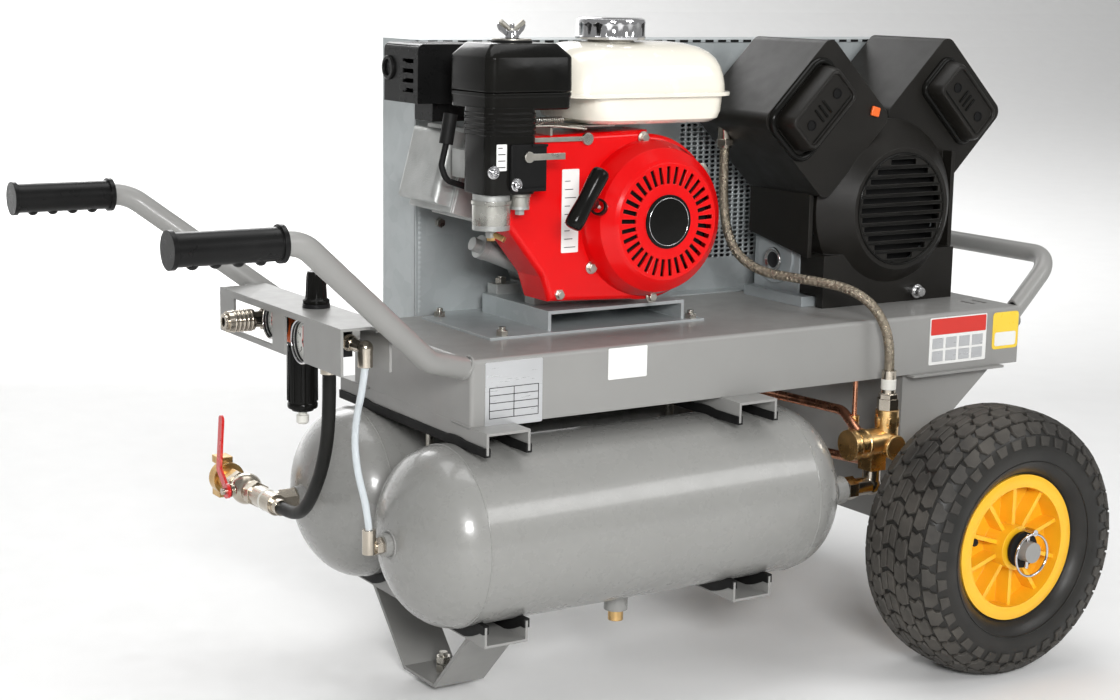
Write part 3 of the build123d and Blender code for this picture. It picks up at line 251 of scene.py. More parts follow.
    finish_look("label_red", "red_paint", (0.62, 0.03, 0.02), 0.34, mottle=0.04, grain=0.08)
    # Flat black: printed rules, ticks and numbers, and also painted shade in vents, slots, holes, inside the
    # recoil cover and behind the pump's grille.
    finish_look("ink_and_painted_shade", "black_plastic", (0.008, 0.008, 0.008), 0.6, mottle=0.1, grain=0.05,
                Specular_IOR_Level=0.1)
    finish_look("floor_paper", "frame_paint", (0.86, 0.86, 0.855), 0.6, mottle=0.01, grain=0.1,
                grain_scale=120.0)
    galvanised()
    valve_metal()


def galvanised():
    """Zinc-coated sheet, with its spangle of flat crystals."""
    n = Nodes("galvanised", "zinc")
    crystal = n.cells(55.0)
    tone = n.spread(crystal.outputs["Color"], 0, 1, 0.0, 1.0)
    shade = n.mix(tone, (0.40, 0.43, 0.435), (0.47, 0.50, 0.505))
    shade = n.mix(n.spread(n.noise(3.5, 5.0), 0, 0.4), shade, (0.37, 0.41, 0.42))
    edge, normal = n.edges(0.0008)
    n.join(n.mix(n.math("MULTIPLY", edge, 0.5), shade, (0.62, 0.63, 0.63)), n.shader.inputs["Base Color"])
    n.join(n.spread(n.noise(22.0, 5.0), 0.32, 0.48), n.shader.inputs["Roughness"])
    n.join(n.bump(n.noise(90.0, 3.0), 0.10, 0.0004, normal), n.shader.inputs["Normal"])
    n.shader.inputs["Metallic"].default_value = 0.4
    LOOKS["galvanised"] = n.material


def valve_metal():
    """The outlet valve's plated body, with its hose coupling at the far end in plain brass."""
    n = Nodes("valve_metal", "nickel")
    split = n.add("ShaderNodeSeparateXYZ")
    n.join(n.place, split.inputs["Vector"])
    in_brass = n.math("GREATER_THAN", split.outputs["Y"], 0.2135)
    edge, normal = n.edges(0.0008)
    tone = n.spread(n.noise(60.0, 4.0), 0, 1)
    plated = n.mix(tone, (0.44, 0.39, 0.32), (0.56, 0.51, 0.43))
    brass = n.mix(tone, (0.50, 0.30, 0.10), (0.66, 0.43, 0.17))
    n.join(n.mix(n.math("MULTIPLY", edge, 0.4), n.mix(in_brass, plated, brass), (0.80, 0.70, 0.52)),
           n.shader.inputs["Base Color"])
    n.join(n.spread(n.noise(40.0, 4.0), 0.14, 0.34), n.shader.inputs["Roughness"])
    n.join(n.bump(n.noise(500.0, 2.0), 0.2, 0.0002, normal), n.shader.inputs["Normal"])
    n.shader.inputs["Metallic"].default_value = 1.0
    LOOKS["valve_metal"] = n.material


NODE_LOOKS = {
    "frame_paint": ["deck", "cradle_channels", "handle_tubes", "front_loop_handle", "wheel_carrier",
                    "regulator_bracket", "axle"],
    "tank_paint": ["front_tank", "rear_tank"],
    "zinc_bolt": ["frame_bolts", "choke_lever", "throttle_lever"],
    "bright_steel": ["engine_crankshaft", "ring_pins"],
    "chrome": ["fuel_cap"],
    "galvanised": ["guard_back_plate", "guard_cover", "engine_mount"],
    "rubber": ["cradle_edging", "rubber_foot", "drive_belts", "spark_plug_lead"],
    "grip_rubber": ["handle_grips"],
    "hose_rubber": ["outlet_hose"],
    "tyre_rubber": ["right_tyre", "left_tyre"],
    "rim_yellow": ["right_rim", "left_rim"],
    "brass": ["front_drain_screw", "rear_drain_screw", "unloader_valve"],
    "copper": ["copper_pipes"],
    "nickel": ["air_fittings", "quick_coupling", "coupling_sleeve"],
    "valve_metal": ["ball_valve"],
    "nylon": ["nylon_tube"],
    "white_plastic": ["bowl_drain"],
    "red_dip": ["valve_lever"],
    "black_gloss": ["regulator_knob", "filter_bowl", "air_cleaner", "intake_duct", "recoil_grip"],
    "black_satin": ["pump_shroud", "intake_filters"],
    "regulator_black": ["regulator_body", "pressure_gauges"],
    "red_paint": ["blower_housing", "recoil_cover"],
    "label_red": ["small_gauge_needle", "large_gauge_needle"],
    "cast_alloy": ["engine_block", "carburettor", "oil_filler_cap"],
    "cream_paint": ["fuel_tank"],
    "muffler_black": ["muffler"],
    "pump_grey": ["pump_crankcase"],
    "cast_iron": ["pump_flywheel"],
    "braid_core": ["discharge_hose"],
}


def paint_nodes():
    """Gives every node of the frame its material."""
    for look, names in NODE_LOOKS.items():
        for name in names:
            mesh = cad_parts[name].data
            mesh.materials.clear()
            mesh.materials.append(LOOKS[look])


# ---------------------------------------------------------------- mesh building
class Build:
    """Collects faces in millimetres, and turns them into one piece that rides a body."""

    def __init__(self):
        self.points = []
        self.faces = []

    def add(self, points, faces, place=None):
        """Takes in points and the faces between them, moved to a place where one is given."""
        start = len(self.points)
        for point in points:
            point = Vector(point)
            self.points.append(place @ point if place else point)
        self.faces += [[start + i for i in face] for face in faces]
        return self

    def rings(self, rings, closed=True, caps=True, loop=False, place=None):
        """Skins a list of equally long rings of points."""
        count = len(rings[0])
        faces = []
        spans = len(rings) if loop else len(rings) - 1
        for r in range(spans):
            for i in range(count if closed else count - 1):
                a, b = r * count + i, r * count + (i + 1) % count
                following = (r + 1) % len(rings) * count
                c, d = following + (i + 1) % count, following + i
                faces.append((a, b, c, d))
        if caps and not loop:
            faces.append(tuple(reversed(range(count))))
            faces.append(tuple(range((len(rings) - 1) * count, len(rings) * count)))
        return self.add([p for ring in rings for p in ring], faces, place)

    def lathe(self, start, direction, profile, segments=48, loop=False, caps=True):
        """Turns (distance along the axis, radius) points about an axis."""
        turn = Vector(direction).normalized().to_track_quat("Z", "Y").to_matrix().to_4x4()
        place = Matrix.Translation(Vector(start)) @ turn
        rings = []
        for distance, radius in profile:
            rings.append([(radius * math.cos(a), radius * math.sin(a), distance)
                          for a in (2 * math.pi * i / segments for i in range(segments))])
        return self.rings(rings, loop=loop, caps=caps, place=place)

    def box(self, x0, x1, y0, y1, z0, z1, place=None):
        """A block between two corners."""
        corners = [(x, y, z) for z in (z0, z1) for x, y in ((x0, y0), (x1, y0), (x1, y1), (x0, y1))]
        return self.rings([corners[:4], corners[4:]], place=place)

    def prism(self, outline, low, high, place=None):
        """An outline of (x, y) points, raised along Z."""
        return self.rings([[(x, y, z) for x, y in outline] for z in (low, high)], place=place)

    def tube(self, points, radius, segments=10, loop=False):
        """A round tube along points. radius may be a function of the share of the way along."""
        points = [Vector(p) for p in points]
        count = len(points)
        side = None
        rings = []
        for i, point in enumerate(points):
            before = points[i - 1] if loop or i else point
            after = points[(i + 1) % count] if loop or i < count - 1 else point
            along = (after - before).normalized()
            if side is None:
                side = along.orthogonal().normalized()
            side = (side - along * side.dot(along)).normalized()
            other = along.cross(side)
            r = radius(i / (count - 1)) if callable(radius) else radius
            rings.append([point + r * (side * math.cos(a) + other * math.sin(a))
                          for a in (2 * math.pi * k / segments for k in range(segments))])
        return self.rings(rings, loop=loop)

    def piece(self, name, look, body="chassis", bevel=0.0, smooth=35, subdivide=0, thick=0.0,
              weld=False, stands_for=()):
        """Makes the piece. bevel and thick are in millimetres, smooth in degrees."""
        mesh = bpy.data.meshes.new(name)
        mesh.from_pydata([at(*p) for p in self.points], [], self.faces)
        mesh.validate()
        if weld:
            edit = bmesh.new()
            edit.from_mesh(mesh)
            bmesh.ops.remove_doubles(edit, verts=edit.verts, dist=0.00002)
            bmesh.ops.recalc_face_normals(edit, faces=edit.faces)
            edit.to_mesh(mesh)
            edit.free()
        mesh.polygons.foreach_set("use_smooth", [True] * len(mesh.polygons))
        mesh.set_sharp_from_angle(angle=math.radians(smooth))
        mesh.materials.append(LOOKS[look])
        piece = bpy.data.objects.new(name, mesh)
        bpy.context.scene.collection.objects.link(piece)
        if thick:
            solid = piece.modifiers.new("Thickness", "SOLIDIFY")
            solid.thickness = thick * MM
            solid.offset = -1
        if bevel:
            edge = piece.modifiers.new("Edges", "BEVEL")
            edge.width = bevel * MM
            edge.segments = 3
            edge.limit_method = "ANGLE"
            edge.angle_limit = math.radians(smooth)
        if subdivide:
            fine = piece.modifiers.new("Fine", "SUBSURF")
            fine.levels = subdivide
            fine.render_levels = subdivide
        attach(piece, body)
        if stands_for:
            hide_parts(*stands_for)
        return piece


def rounded(half_x, half_y, radius, z, centre=(0, 0), steps=6):
    """A ring of points: a rectangle with round corners."""
    ring = []
    for corner, (sx, sy) in enumerate(((1, 1), (-1, 1), (-1, -1), (1, -1))):
        for i in range(steps + 1):
            a = math.radians(90 * corner + 90 * i / steps)
            ring.append((centre[0] + sx * (half_x - radius) + radius * math.cos(a),
                         centre[1] + sy * (half_y - radius) + radius * math.sin(a), z))
    return ring


def along_plane(origin, x_axis, y_axis):
    """A placement whose X and Y lie along the given directions."""
    x_axis, y_axis = Vector(x_axis).normalized(), Vector(y_axis).normalized()
    turn = Matrix((x_axis, y_axis, x_axis.cross(y_axis))).transposed().to_4x4()
    return Matrix.Translation(Vector(origin)) @ turn


FACING_RIGHT = ((1, 0, 0), (0, 0, 1))     # a plane seen from -Y, its X along +X and its Y up
FACING_HANDLES = ((0, -1, 0), (0, 0, 1))  # a plane seen from -X


# ---------------------------------------------------------------- camera, floor and light
def make_camera():
    """The camera, at the same place and angle as in the reference view."""
    yaw, pitch, roll = (math.radians(a) for a in (32.42, 10.606, 0.965))
    ahead = Vector((math.sin(yaw) * math.cos(pitch), math.cos(yaw) * math.cos(pitch), -math.sin(pitch)))
    right = Vector((math.cos(yaw), -math.sin(yaw), 0))
    up = right.cross(ahead)
    right, up = (right * math.cos(roll) + up * math.sin(roll),
                 up * math.cos(roll) - right * math.sin(roll))
    data = bpy.data.cameras.new("camera")
    data.sensor_width = 36
    data.lens = 63.64
    camera = bpy.data.objects.new("camera", data)
    turn = Matrix((right, up, -ahead)).transposed().to_4x4()
    camera.matrix_world = Matrix.Translation(at(-1041.4, -1959.8, 826.5)) @ turn
    data.clip_end = 50
    bpy.context.scene.collection.objects.link(camera)
    bpy.context.scene.camera = camera


def make_stage():
    """A pale floor that curves up into a backdrop far behind, and soft studio lights."""
    rings = []
    for x in (-16.0, 16.0):
        rings.append([(x, y, z) for y, z in ((-6, 0), (4, 0), (6.5, 0.15), (8, 0.9), (8.6, 2.4),
                                             (8.6, 7))])
    mesh = bpy.data.meshes.new("floor")
    count = len(rings[0])
    faces = [(i, i + 1, count + i + 1, count + i) for i in range(count - 1)]
    mesh.from_pydata(rings[0] + rings[1], [], faces)
    mesh.materials.append(LOOKS["floor_paper"])
    floor = bpy.data.objects.new("floor", mesh)
    floor.location = (0, 0, -0.0003)
    bpy.context.scene.collection.objects.link(floor)
    fine = floor.modifiers.new("Fine", "SUBSURF")
    fine.levels = fine.render_levels = 3
    lights = [  # name, place, aimed at, size, power
        ("key", (-1.4, -2.9, 1.5), (0, 0, 0.3), 0.9, 84),
        ("side", (1.8, -2.6, 2.0), (0, 0, 0.3), 1.4, 25),
        ("top", (0.1, 0.3, 3.2), (0, 0, 0.3), 2.4, 38),
        ("back", (0.8, 3.4, 2.4), (0, 0, 0.5), 2.0, 40),
        ("backdrop", (-0.5, 3.2, 3.4), (2.5, 8.5, 1.6), 3.5, 520),
    ]
    for name, place, aim, size, power in lights:
        data = bpy.data.lights.new(name, "AREA")
        data.shape = "RECTANGLE"
        data.size, data.size_y = size, size * 0.7
        data.energy = power
        light = bpy.data.objects.new(name, data)
        light.location = place
        light.rotation_euler = (Vector(aim) - Vector(place)).to_track_quat("-Z", "Y").to_euler()
        bpy.context.scene.collection.objects.link(light)
    world = bpy.data.worlds.new("studio")
    world.use_nodes = True
    world.node_tree.nodes["Background"].inputs["Color"].default_value = (1.0, 1.0, 1.0, 1)
    world.node_tree.nodes["Background"].inputs["Strength"].default_value = 0.34
    bpy.context.scene.world = world
    bpy.context.scene.view_settings.view_transform = "Standard"


# ---------------------------------------------------------------- loose hoses
ROUTES = {  # the same points as in the part's drawing
    "discharge_hose": [(484, 60, 620), (484, 60, 585), (483, 57, 548), (482, 47, 514), (484, 28, 488),
                       (493, 6, 473), (501, -20, 467), (517, -58, 465), (533, -94, 463),
                       (547, -124, 458), (560, -148, 443), (571, -161, 418), (577, -165, 388),
                       (577, -165, 362)],
    "outlet_hose": [(-122, 82, 220), (-122, 50, 220), (-123, 18.5, 233), (-125, -12, 262),
                    (-128, -42.5, 301), (-130, -62, 351), (-130, -62, 405)],
    "nylon_tube": [(-107.5, -111.5, 240), (-110, -110, 268), (-116, -103, 298),
                   (-118.5, -99, 334), (-122, -112, 368), (-126.5, -133, 397), (-125, -138, 425)],
}
HOSES = {  # name: look, diameter, length, far end, stiffness
    "discharge_hose": ("braid_core", 10.8, 0.424, "object", "stiff"),
    "outlet_hose": ("hose_rubber", 15.0, 0.263, "object", "medium"),
    "nylon_tube": ("nylon", 8.0, 0.200, "object", "medium"),
}


def route_curve(name, diameter):
    """A smooth curve of one NURBS spline through the route's points as its control points."""
    data = bpy.data.curves.new(name, "CURVE")
    data.dimensions = "3D"
    data.resolution_u = 16
    data.bevel_depth = diameter * MM / 2
    data.bevel_resolution = 6
    data.use_fill_caps = True
    spline = data.splines.new("NURBS")
    points = ROUTES[name]
    spline.points.add(len(points) - 1)
    for slot, point in zip(spline.points, points):
        slot.co = (*at(*point), 1.0)
    spline.order_u = 3
    spline.use_endpoint_u = True
    curve = bpy.data.objects.new(name + "_line", data)
    bpy.context.scene.collection.objects.link(curve)
    return curve


def centreline(name):
    """Points along a route's spline, in the drawing's millimetres."""
    bare = route_curve(name, 0)
    bpy.context.view_layer.update()
    mesh = bpy.data.meshes.new_from_object(bare.evaluated_get(bpy.context.evaluated_depsgraph_get()))
    points = [Vector((v.co.x / MM + ORIGIN_X, v.co.y / MM, v.co.z / MM)) for v in mesh.vertices]
    bpy.data.objects.remove(bare)
    return points


def make_hoses():
    """The three free hoses, each a tube along its route."""
    for name, (look, diameter, length, end, stiffness) in HOSES.items():
        curve = route_curve(name, diameter)
        curve.data.materials.append(LOOKS[look])
        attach(curve, "chassis")
        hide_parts(name)


def make_braid():
    """The braided wires round the discharge hose: flat ribbons wound both ways."""
    line = centreline("discharge_hose")
    steps = [0.0]
    for a, b in zip(line, line[1:]):
        steps.append(steps[-1] + (b - a).length)
    length = steps[-1]
    side = (line[1] - line[0]).orthogonal().normalized()
    frames = []
    for i, point in enumerate(line):
        along = (line[min(i + 1, len(line) - 1)] - line[max(i - 1, 0)]).normalized()
        side = (side - along * side.dot(along)).normalized()
        frames.append((point, side.copy(), along.cross(side)))
    xs = np.array(steps)
    table = np.array([[*p, *s, *o] for p, s, o in frames])
    lead, strands, wire = 30.0, 14, 0.62
    count = int(length / 1.6)
    build = Build()
    for way in (-1, 1):
        for strand in range(strands):
            points = []
            for k in range(count + 1):
                s = length * k / count
                row = [np.interp(s, xs, table[:, c]) for c in range(9)]
                angle = way * 2 * math.pi * s / lead + 2 * math.pi * strand / strands
                weave = 0.22 * math.sin(2 * math.pi * s / lead * strands + math.pi * strand * 2 * way)
                radius = 5.45 + way * weave
                turn = (math.cos(angle), math.sin(angle))
                points.append([row[c] + radius * (turn[0] * row[3 + c] + turn[1] * row[6 + c])
                               for c in range(3)])
            build.tube(points, wire, segments=5)
    build.piece("discharge_hose_braid", "braid_wire", smooth=60)


# ---------------------------------------------------------------- wheels
WHEEL_X, WHEEL_Y, AXLE_Z = 655, 272, 165
TYRE_SIDE = [(0, 160.8), (22, 159.8), (38, 156.2), (50, 149.5), (57, 140), (60.5, 128), (61, 117),
             (58.5, 106), (53, 97.5), (47, 92.5), (43, 90)]


def smooth_line(points, fine=5):
    """A Catmull-Rom curve through points in a plane."""
    out = []
    ends = [points[0]] + list(points) + [points[-1]]
    for p0, p1, p2, p3 in zip(ends, ends[1:], ends[2:], ends[3:]):
        for i in range(fine):
            t = i / fine
            out.append(tuple(0.5 * (2 * b + (c - a) * t + (2 * a - 5 * b + 4 * c - d) * t * t
                                    + (3 * b - a - 3 * c + d) * t**3)
                             for a, b, c, d in zip(p0, p1, p2, p3)))
    return out + [tuple(points[-1])]


class TyreSkin:
    """The tyre's cross-section, measured along its surface from the middle of the tread."""

    def __init__(self):
        half = smooth_line(TYRE_SIDE)
        self.line = np.array([(-y, r) for y, r in reversed(half[1:])] + half)
        gaps = np.hypot(*np.diff(self.line, axis=0).T)
        along = np.concatenate([[0], np.cumsum(gaps)])
        self.along = along - along[-1] / 2

    def at(self, v, height):
        """The (across, radius) point a height above the surface at distance v from the middle."""
        y, r = (np.interp(v, self.along, self.line[:, c]) for c in (0, 1))
        y1, r1 = (np.interp(v + 1, self.along, self.line[:, c]) for c in (0, 1))
        y0, r0 = (np.interp(v - 1, self.along, self.line[:, c]) for c in (0, 1))
        dy, dr = y1 - y0, r1 - r0
        size = math.hypot(dy, dr)
        return y - height * dr / size, r + height * dy / size


TREAD_BLOCKS = [  # (outline of across and round distances, half a pitch of shift, height)
    ([(0.9, -9.5), (10.4, -13), (10.4, 5), (0.9, 8.5)], 0.0, 4.0),
    ([(12.4, -7.5), (20.5, -11.5), (29, -8), (29, 6), (24.5, 10), (20.5, 6.5), (16, 10), (12.4, 6)],
     0.5, 4.0),
    ([(31.2, -9), (38, -12.5), (46, -9), (46, 5), (41.5, 9), (37.5, 5.5), (31.2, 8)], 0.0, 3.9),
    ([(48.4, -9.5), (56, -12), (63.5, -8), (63.5, 3), (58, 4.5), (55.5, 8.5), (48.4, 8)], 0.5, 3.6),
    ([(65.6, -7.5), (77, -6), (77, 5), (65.6, 7)], 0.0, 2.1),
]
PITCHES = 36
TREAD_RADIUS = 161
BLOCK_LENGTH = 1.24  # the blocks' length round the tyre, as a share of their outlines'


def make_tyre(name, side, body):
    """A turf tyre: a smooth carcass, and chevron and shield blocks in rows on its crown."""
    skin = TyreSkin()
    centre = side * WHEEL_Y
    build = Build()
    bead_ring = [(38, 92), (30, 96), (-30, 96), (-38, 92)]
    profile = [(y, r) for y, r in skin.line] + bead_ring
    turn = along_plane((WHEEL_X, centre, AXLE_Z), (1, 0, 0), (0, 0, -1))
    rings = []
    for i in range(96):
        a = 2 * math.pi * i / 96
        rings.append([(r * math.cos(a), r * math.sin(a), y) for y, r in profile])
    build.rings(rings, loop=True, place=turn)
    blocks = Build()
    for ridge in (-1, 1):
        for v, height in ((97.0, 0.9), (118.0, 0.7)):
            across, radius = skin.at(ridge * v, 0)
            ring = [(radius * math.cos(a), radius * math.sin(a), across)
                    for a in (2 * math.pi * k / 96 for k in range(96))]
            build.tube([turn @ Vector(p) for p in ring], height, segments=6, loop=True)
    around = 2 * math.pi * TREAD_RADIUS
    for pitch in range(PITCHES):
        for outline, shift, height in TREAD_BLOCKS:
            for mirror in (-1, 1):
                middle = sum(v for v, _ in outline) / len(outline)
                start = (pitch + shift) * around / PITCHES
                levels = []
                for level, shrink in ((-0.8, 1.04), (height * 0.8, 0.99), (height, 0.93)):
                    ring = []
                    for v, s in outline:
                        v = middle + (v - middle) * shrink
                        across, radius = skin.at(mirror * v, level)
                        a = (start + s * shrink * BLOCK_LENGTH) / TREAD_RADIUS
                        ring.append((radius * math.cos(a), radius * math.sin(a), across))
                    levels.append(ring if mirror < 0 else ring[::-1])
                blocks.rings(levels, place=turn)
    build.piece(name, "tyre_rubber", body, smooth=38, stands_for=[name])
    blocks.piece(name + "_tread", "tread_rubber", body, smooth=38)


def make_wheels():
    """Both tyres, with their valve stems, the rims' raised lines, the pins that hold them, and a black ring
    of painted shade in each hub's bore round the axle.
    """
    for side, hand in ((-1, "right"), (1, "left")):
        make_tyre(f"{hand}_tyre", side, f"{hand}_wheel")
        stem = Build()
        y = side * (WHEEL_Y + 20)
        a = math.radians(168)
        x, z = WHEEL_X + 66 * math.cos(a), AXLE_Z + 66 * math.sin(a)
        stem.lathe((x, y, z), (0, side, 0), [(-6, 0.01), (-6, 6), (4, 5.5), (8, 4.2), (9, 4.8),
                                             (22, 4.8), (23.5, 4), (23.5, 0.01)], 20)
        stem.piece(f"{hand}_valve_stem", "rubber", f"{hand}_wheel", smooth=40)
        line = Build()
        edge = side * (WHEEL_Y + 47)
        line.lathe((WHEEL_X, edge, AXLE_Z), (0, side, 0), [(0, 76), (0.6, 78), (0.6, 86), (0, 88)], 96,
                   caps=False)
        line.piece(f"{hand}_rim_line", "rim_yellow", f"{hand}_wheel", smooth=60)
    pins = Build()
    bore_shade = Build()
    for side in (-1, 1):
        out = side * 346.6
        pins.tube([(WHEEL_X, side * 336, 144), (WHEEL_X, side * 336, 188)], 2.5, 14)
        pins.tube([(WHEEL_X, side * 333, 190), (WHEEL_X, side * 348, 190)], 4.0, 14)
        pins.tube(circle((WHEEL_X - 3, out, 163), 25.5, (0, 1, 0), 72)[:-1], 1.5, 10, loop=True)
        # A black rubber ring round each axle end: painted shade standing for the dark gap in the hub's bore
        # round the axle.
        bore_shade.lathe((WHEEL_X, side * 326, AXLE_Z), (0, side, 0),
                      [(0, 12.7), (0, 22), (4.6, 22), (5, 21.6), (5, 12.7)], 48, loop=True)
    pins.piece("ring_pins", "chrome", smooth=50, stands_for=["ring_pins"])
    bore_shade.piece("axle_bore_painted_shade", "rubber", smooth=40)


# ---------------------------------------------------------------- welds and edges of the frame
def bead(points, radius, spacing=2.6):
    """A weld: overlapping small ripples along a line, as a tube of uneven thickness."""
    line = []
    for a, b in zip(points, points[1:]):
        a, b = Vector(a), Vector(b)
        count = max(2, int((b - a).length / spacing * 2))
        line += [a.lerp(b, i / count) for i in range(count)]
    line.append(Vector(points[-1]))
    build = Build()
    size = [radius * (0.82 + 0.22 * (i % 2) + random.uniform(-0.05, 0.05)) for i in range(len(line))]
    last = len(line) - 1
    return build.tube(line, lambda share: size[min(last, int(round(share * last)))], segments=8)


def circle(centre, radius, axis, count=40, start=0.0, sweep=360.0):
    """Points round a circle."""
    turn = Vector(axis).normalized().to_track_quat("Z", "Y").to_matrix()
    out = []
    for i in range(count + 1):
        a = math.radians(start + sweep * i / count)
        out.append(Vector(centre) + turn @ Vector((radius * math.cos(a), radius * math.sin(a), 0)))
    return out


def join_builds(builds):
    """One build that holds the faces of several."""
    whole = Build()
    for build in builds:
        whole.add(build.points, build.faces)
    return whole


def make_welds():
    """Welds where the channels, handles, bosses and brackets meet."""
    seams = []
    for x0 in (0, 339):
        for x in (x0, x0 + 55):
            for side in (-1, 1):
                seams.append(bead([(x, side * 141.5, 346.8), (x, side * 100, 346.8)], 1.6))
    for side in (-1, 1):
        y = side * 111.5
        seams.append(bead(circle((-83, y, 220), 15, (1, 0, 0)), 1.6))
        seams.append(bead(circle((820.5, side * 126, 404), 12.5, (1, 0, 0.4)), 1.8))
        seams.append(bead(circle((-0.5, side * 129, 411), 13.5, (1, 0, -0.6)), 1.8))
        seams.append(bead([(-104, side * 164, 468), (-128, side * 168, 468)], 1.7))
        seams.append(bead(circle((216, y, 118.8), 14.3, (0, 0, 1)), 1.5))
    seams.append(bead(circle((492, -150, 220), 17.3, (1, 0, 0), start=-60, sweep=240), 1.6))
    join_builds(seams).piece("frame_welds", "frame_paint", smooth=60)
    girths = []
    for side in (-1, 1):
        for x in (-13, 437):
            girths.append(bead(circle((x, side * 111.5, 220), 101.7, (1, 0, 0), count=120), 1.0, 4.0))
    join_builds(girths).piece("tank_girth_welds", "tank_paint", smooth=60)


def plate(name, look, lo, hi, y, radius=3.0, thick=0.5):
    """A thin label with round corners on a face that looks towards -Y."""
    build = Build()
    centre = ((lo[0] + hi[0]) / 2, (lo[1] + hi[1]) / 2)
    place = along_plane((0, y, 0), *FACING_RIGHT)
    low, high = (rounded((hi[0] - lo[0]) / 2, (hi[1] - lo[1]) / 2, radius, z, centre)
                 for z in (0, thick))
    build.rings([low, high], place=place)
    return build.piece(name, look, smooth=40)


def make_labels():
    """Plain labels on the deck's skirt: coloured panels and rules, with nothing written."""
    skirt = -141.5
    plate("rating_plate", "label_silver", (18, 345), (91, 417), skirt, 2, 0.7)
    rules = Build()
    place = along_plane((0, skirt - 0.75, 0), *FACING_RIGHT)
    for row in range(5):
        z = 354 + row * 8.5
        rules.box(23, 86, z, z + 0.7, 0, 0.25, place)
    rules.box(23, 23.7, 354, 388, 0, 0.25, place)
    rules.box(54, 54.7, 354, 388, 0, 0.25, place)
    rules.box(85.3, 86, 354, 388, 0, 0.25, place)
    rules.piece("rating_plate_rules", "ink_and_painted_shade")
    plate("serial_label", "label_white", (178, 383), (231, 419), skirt, 1.5)
    plate("notice_label", "label_white", (663, 356), (760, 416), skirt, 2)
    plate("notice_band", "label_red", (664.5, 394), (758.5, 414.5), skirt - 0.5, 1.5, 0.2)
    boxes = Build()
    place = along_plane((0, skirt - 0.7, 0), *FACING_RIGHT)
    for row in range(2):
        for column in range(4):
            x, z = 668 + column * 22.5, 360 + row * 16.5
            boxes.box(x, x + 18, z, z + 13.5, 0, 0.2, place)
    boxes.piece("notice_fields", "label_silver")
    plate("yellow_label", "label_yellow", (771, 367), (816, 415), skirt, 5)
    plate("yellow_label_field", "label_white", (775, 371), (812, 389), skirt - 0.5, 3, 0.2)
    plate("engine_label", "label_white", (164, 518), (187, 614), -60, 1.5)
    marks = Build()
    place = along_plane((0, -60.6, 0), *FACING_RIGHT)
    for row in range(9):
        z = 524 + row * 9.5
        marks.box(168, 183 - (row % 3) * 4, z, z + 0.8, 0, 0.2, place)
    marks.piece("engine_label_rules", "ink_and_painted_shade")


# ---------------------------------------------------------------- belt guard
def make_guard_plate():
    """The plate behind the machines, pierced with long holes between the engine and the pump."""
    x0, x1, z0, z1, front = 84, 884, 398, 753, 144
    width, height = 10.0, 6.0
    pierced = (470, 600, 462, 690)
    round_holes = ((283, 553, 32), (678, 545, 46))
    build = Build()
    columns, rows = round((x1 - x0) / width), round((z1 - z0) / height)
    dx, dz = (x1 - x0) / columns, (z1 - z0) / rows
    thirds = (-1, -1 / 3, 1 / 3)
    border = ([(u, -1) for u in thirds] + [(1, u) for u in thirds]
              + [(-u, 1) for u in thirds] + [(-1, -u) for u in thirds])
    for column in range(columns):
        for row in range(rows):
            cx, cz = x0 + (column + 0.5) * dx, z0 + (row + 0.5) * dz
            if any(math.hypot(cx - hx, cz - hz) < hr + 4 for hx, hz, hr in round_holes):
                continue
            outer = [(cx + u * dx / 2, front, cz + v * dz / 2) for u, v in border]
            if pierced[0] < cx < pierced[1] and pierced[2] < cz < pierced[3]:
                turns = [math.atan2(v, u) for u, v in border]
                inner = [(cx + 3.9 * math.cos(a), front, cz + 2.3 * math.sin(a)) for a in turns]
                build.rings([inner, outer], caps=False)
            else:
                build.add(outer, [tuple(range(12))])
    guard = build.piece("guard_back_plate", "galvanised", thick=2.0, weld=True,
                        stands_for=["guard_back_plate"])
    guard.modifiers["Thickness"].offset = 1
    trim = Build()
    for hx, hz, radius in round_holes:
        collar = [(0, radius), (0, radius + 12), (2.4, radius + 12), (2.4, radius)]
        trim.lathe((hx, front - 0.2, hz), (0, 1, 0), collar, 64, loop=True)
    trim.box(114, 794, 118, front, 421, 423)
    trim.box(x0, x0 + 2, front, front + 2, z0, z1)
    trim.piece("guard_plate_flanges", "galvanised", bevel=0.5)


def make_guard_trim():
    """The slotted upper edge, the folded seams and the screws of the belt guard; the slots and the cover's
    vent holes are drawn as black marks of painted shade.
    """
    # Black strips on the folded edge: painted shade where the slots open.
    lip = Build()
    for i in range(38):
        x = 100 + i * 20.5
        lip.box(x, x + 13, 142.3, 142.7, 749.0, 752.2)
    lip.piece("guard_edge_slot_shade", "ink_and_painted_shade")
    seam = Build()
    seam.box(84, 884, 142.6, 144, 748.5, 753)
    seam.box(84, 88, 142.6, 144, 398, 753)
    seam.piece("guard_folded_edge", "galvanised", bevel=0.5)
    rim = Build()
    for z in (402, 748):
        rim.box(88, 880, 227.6, 229.0, z - 2, z + 2)
    for x in (88, 880):
        rim.box(x - 2, x + 2, 227.6, 229.0, 404, 746)
    # Black discs inside the vent rims: painted shade in the holes.
    dark = Build()
    for row in range(9):
        for hole in range(16):
            x, z = 420 + hole * 12, 500 + row * 12
            rim.lathe((x, 227.9, z), (0, 1, 0), [(0, 4.4), (0.5, 4.4), (0.5, 3.2), (0, 3.2)], 16,
                      loop=True)
            dark.lathe((x, 228.05, z), (0, 1, 0), [(0, 3.2), (0.15, 3.2)], 16)
    rim.piece("guard_cover_seams", "galvanised", bevel=0.3)
    dark.piece("guard_cover_vent_shade", "ink_and_painted_shade")
    screws = Build()
    for x in (110, 350, 620, 860):
        for z in (408, 742):
            screws.lathe((x, 228, z), (0, 1, 0), [(0, 5), (1.2, 4.8), (2.4, 3.4), (2.8, 0.01)], 20)
    screws.piece("guard_screws", "zinc_bolt", smooth=40)


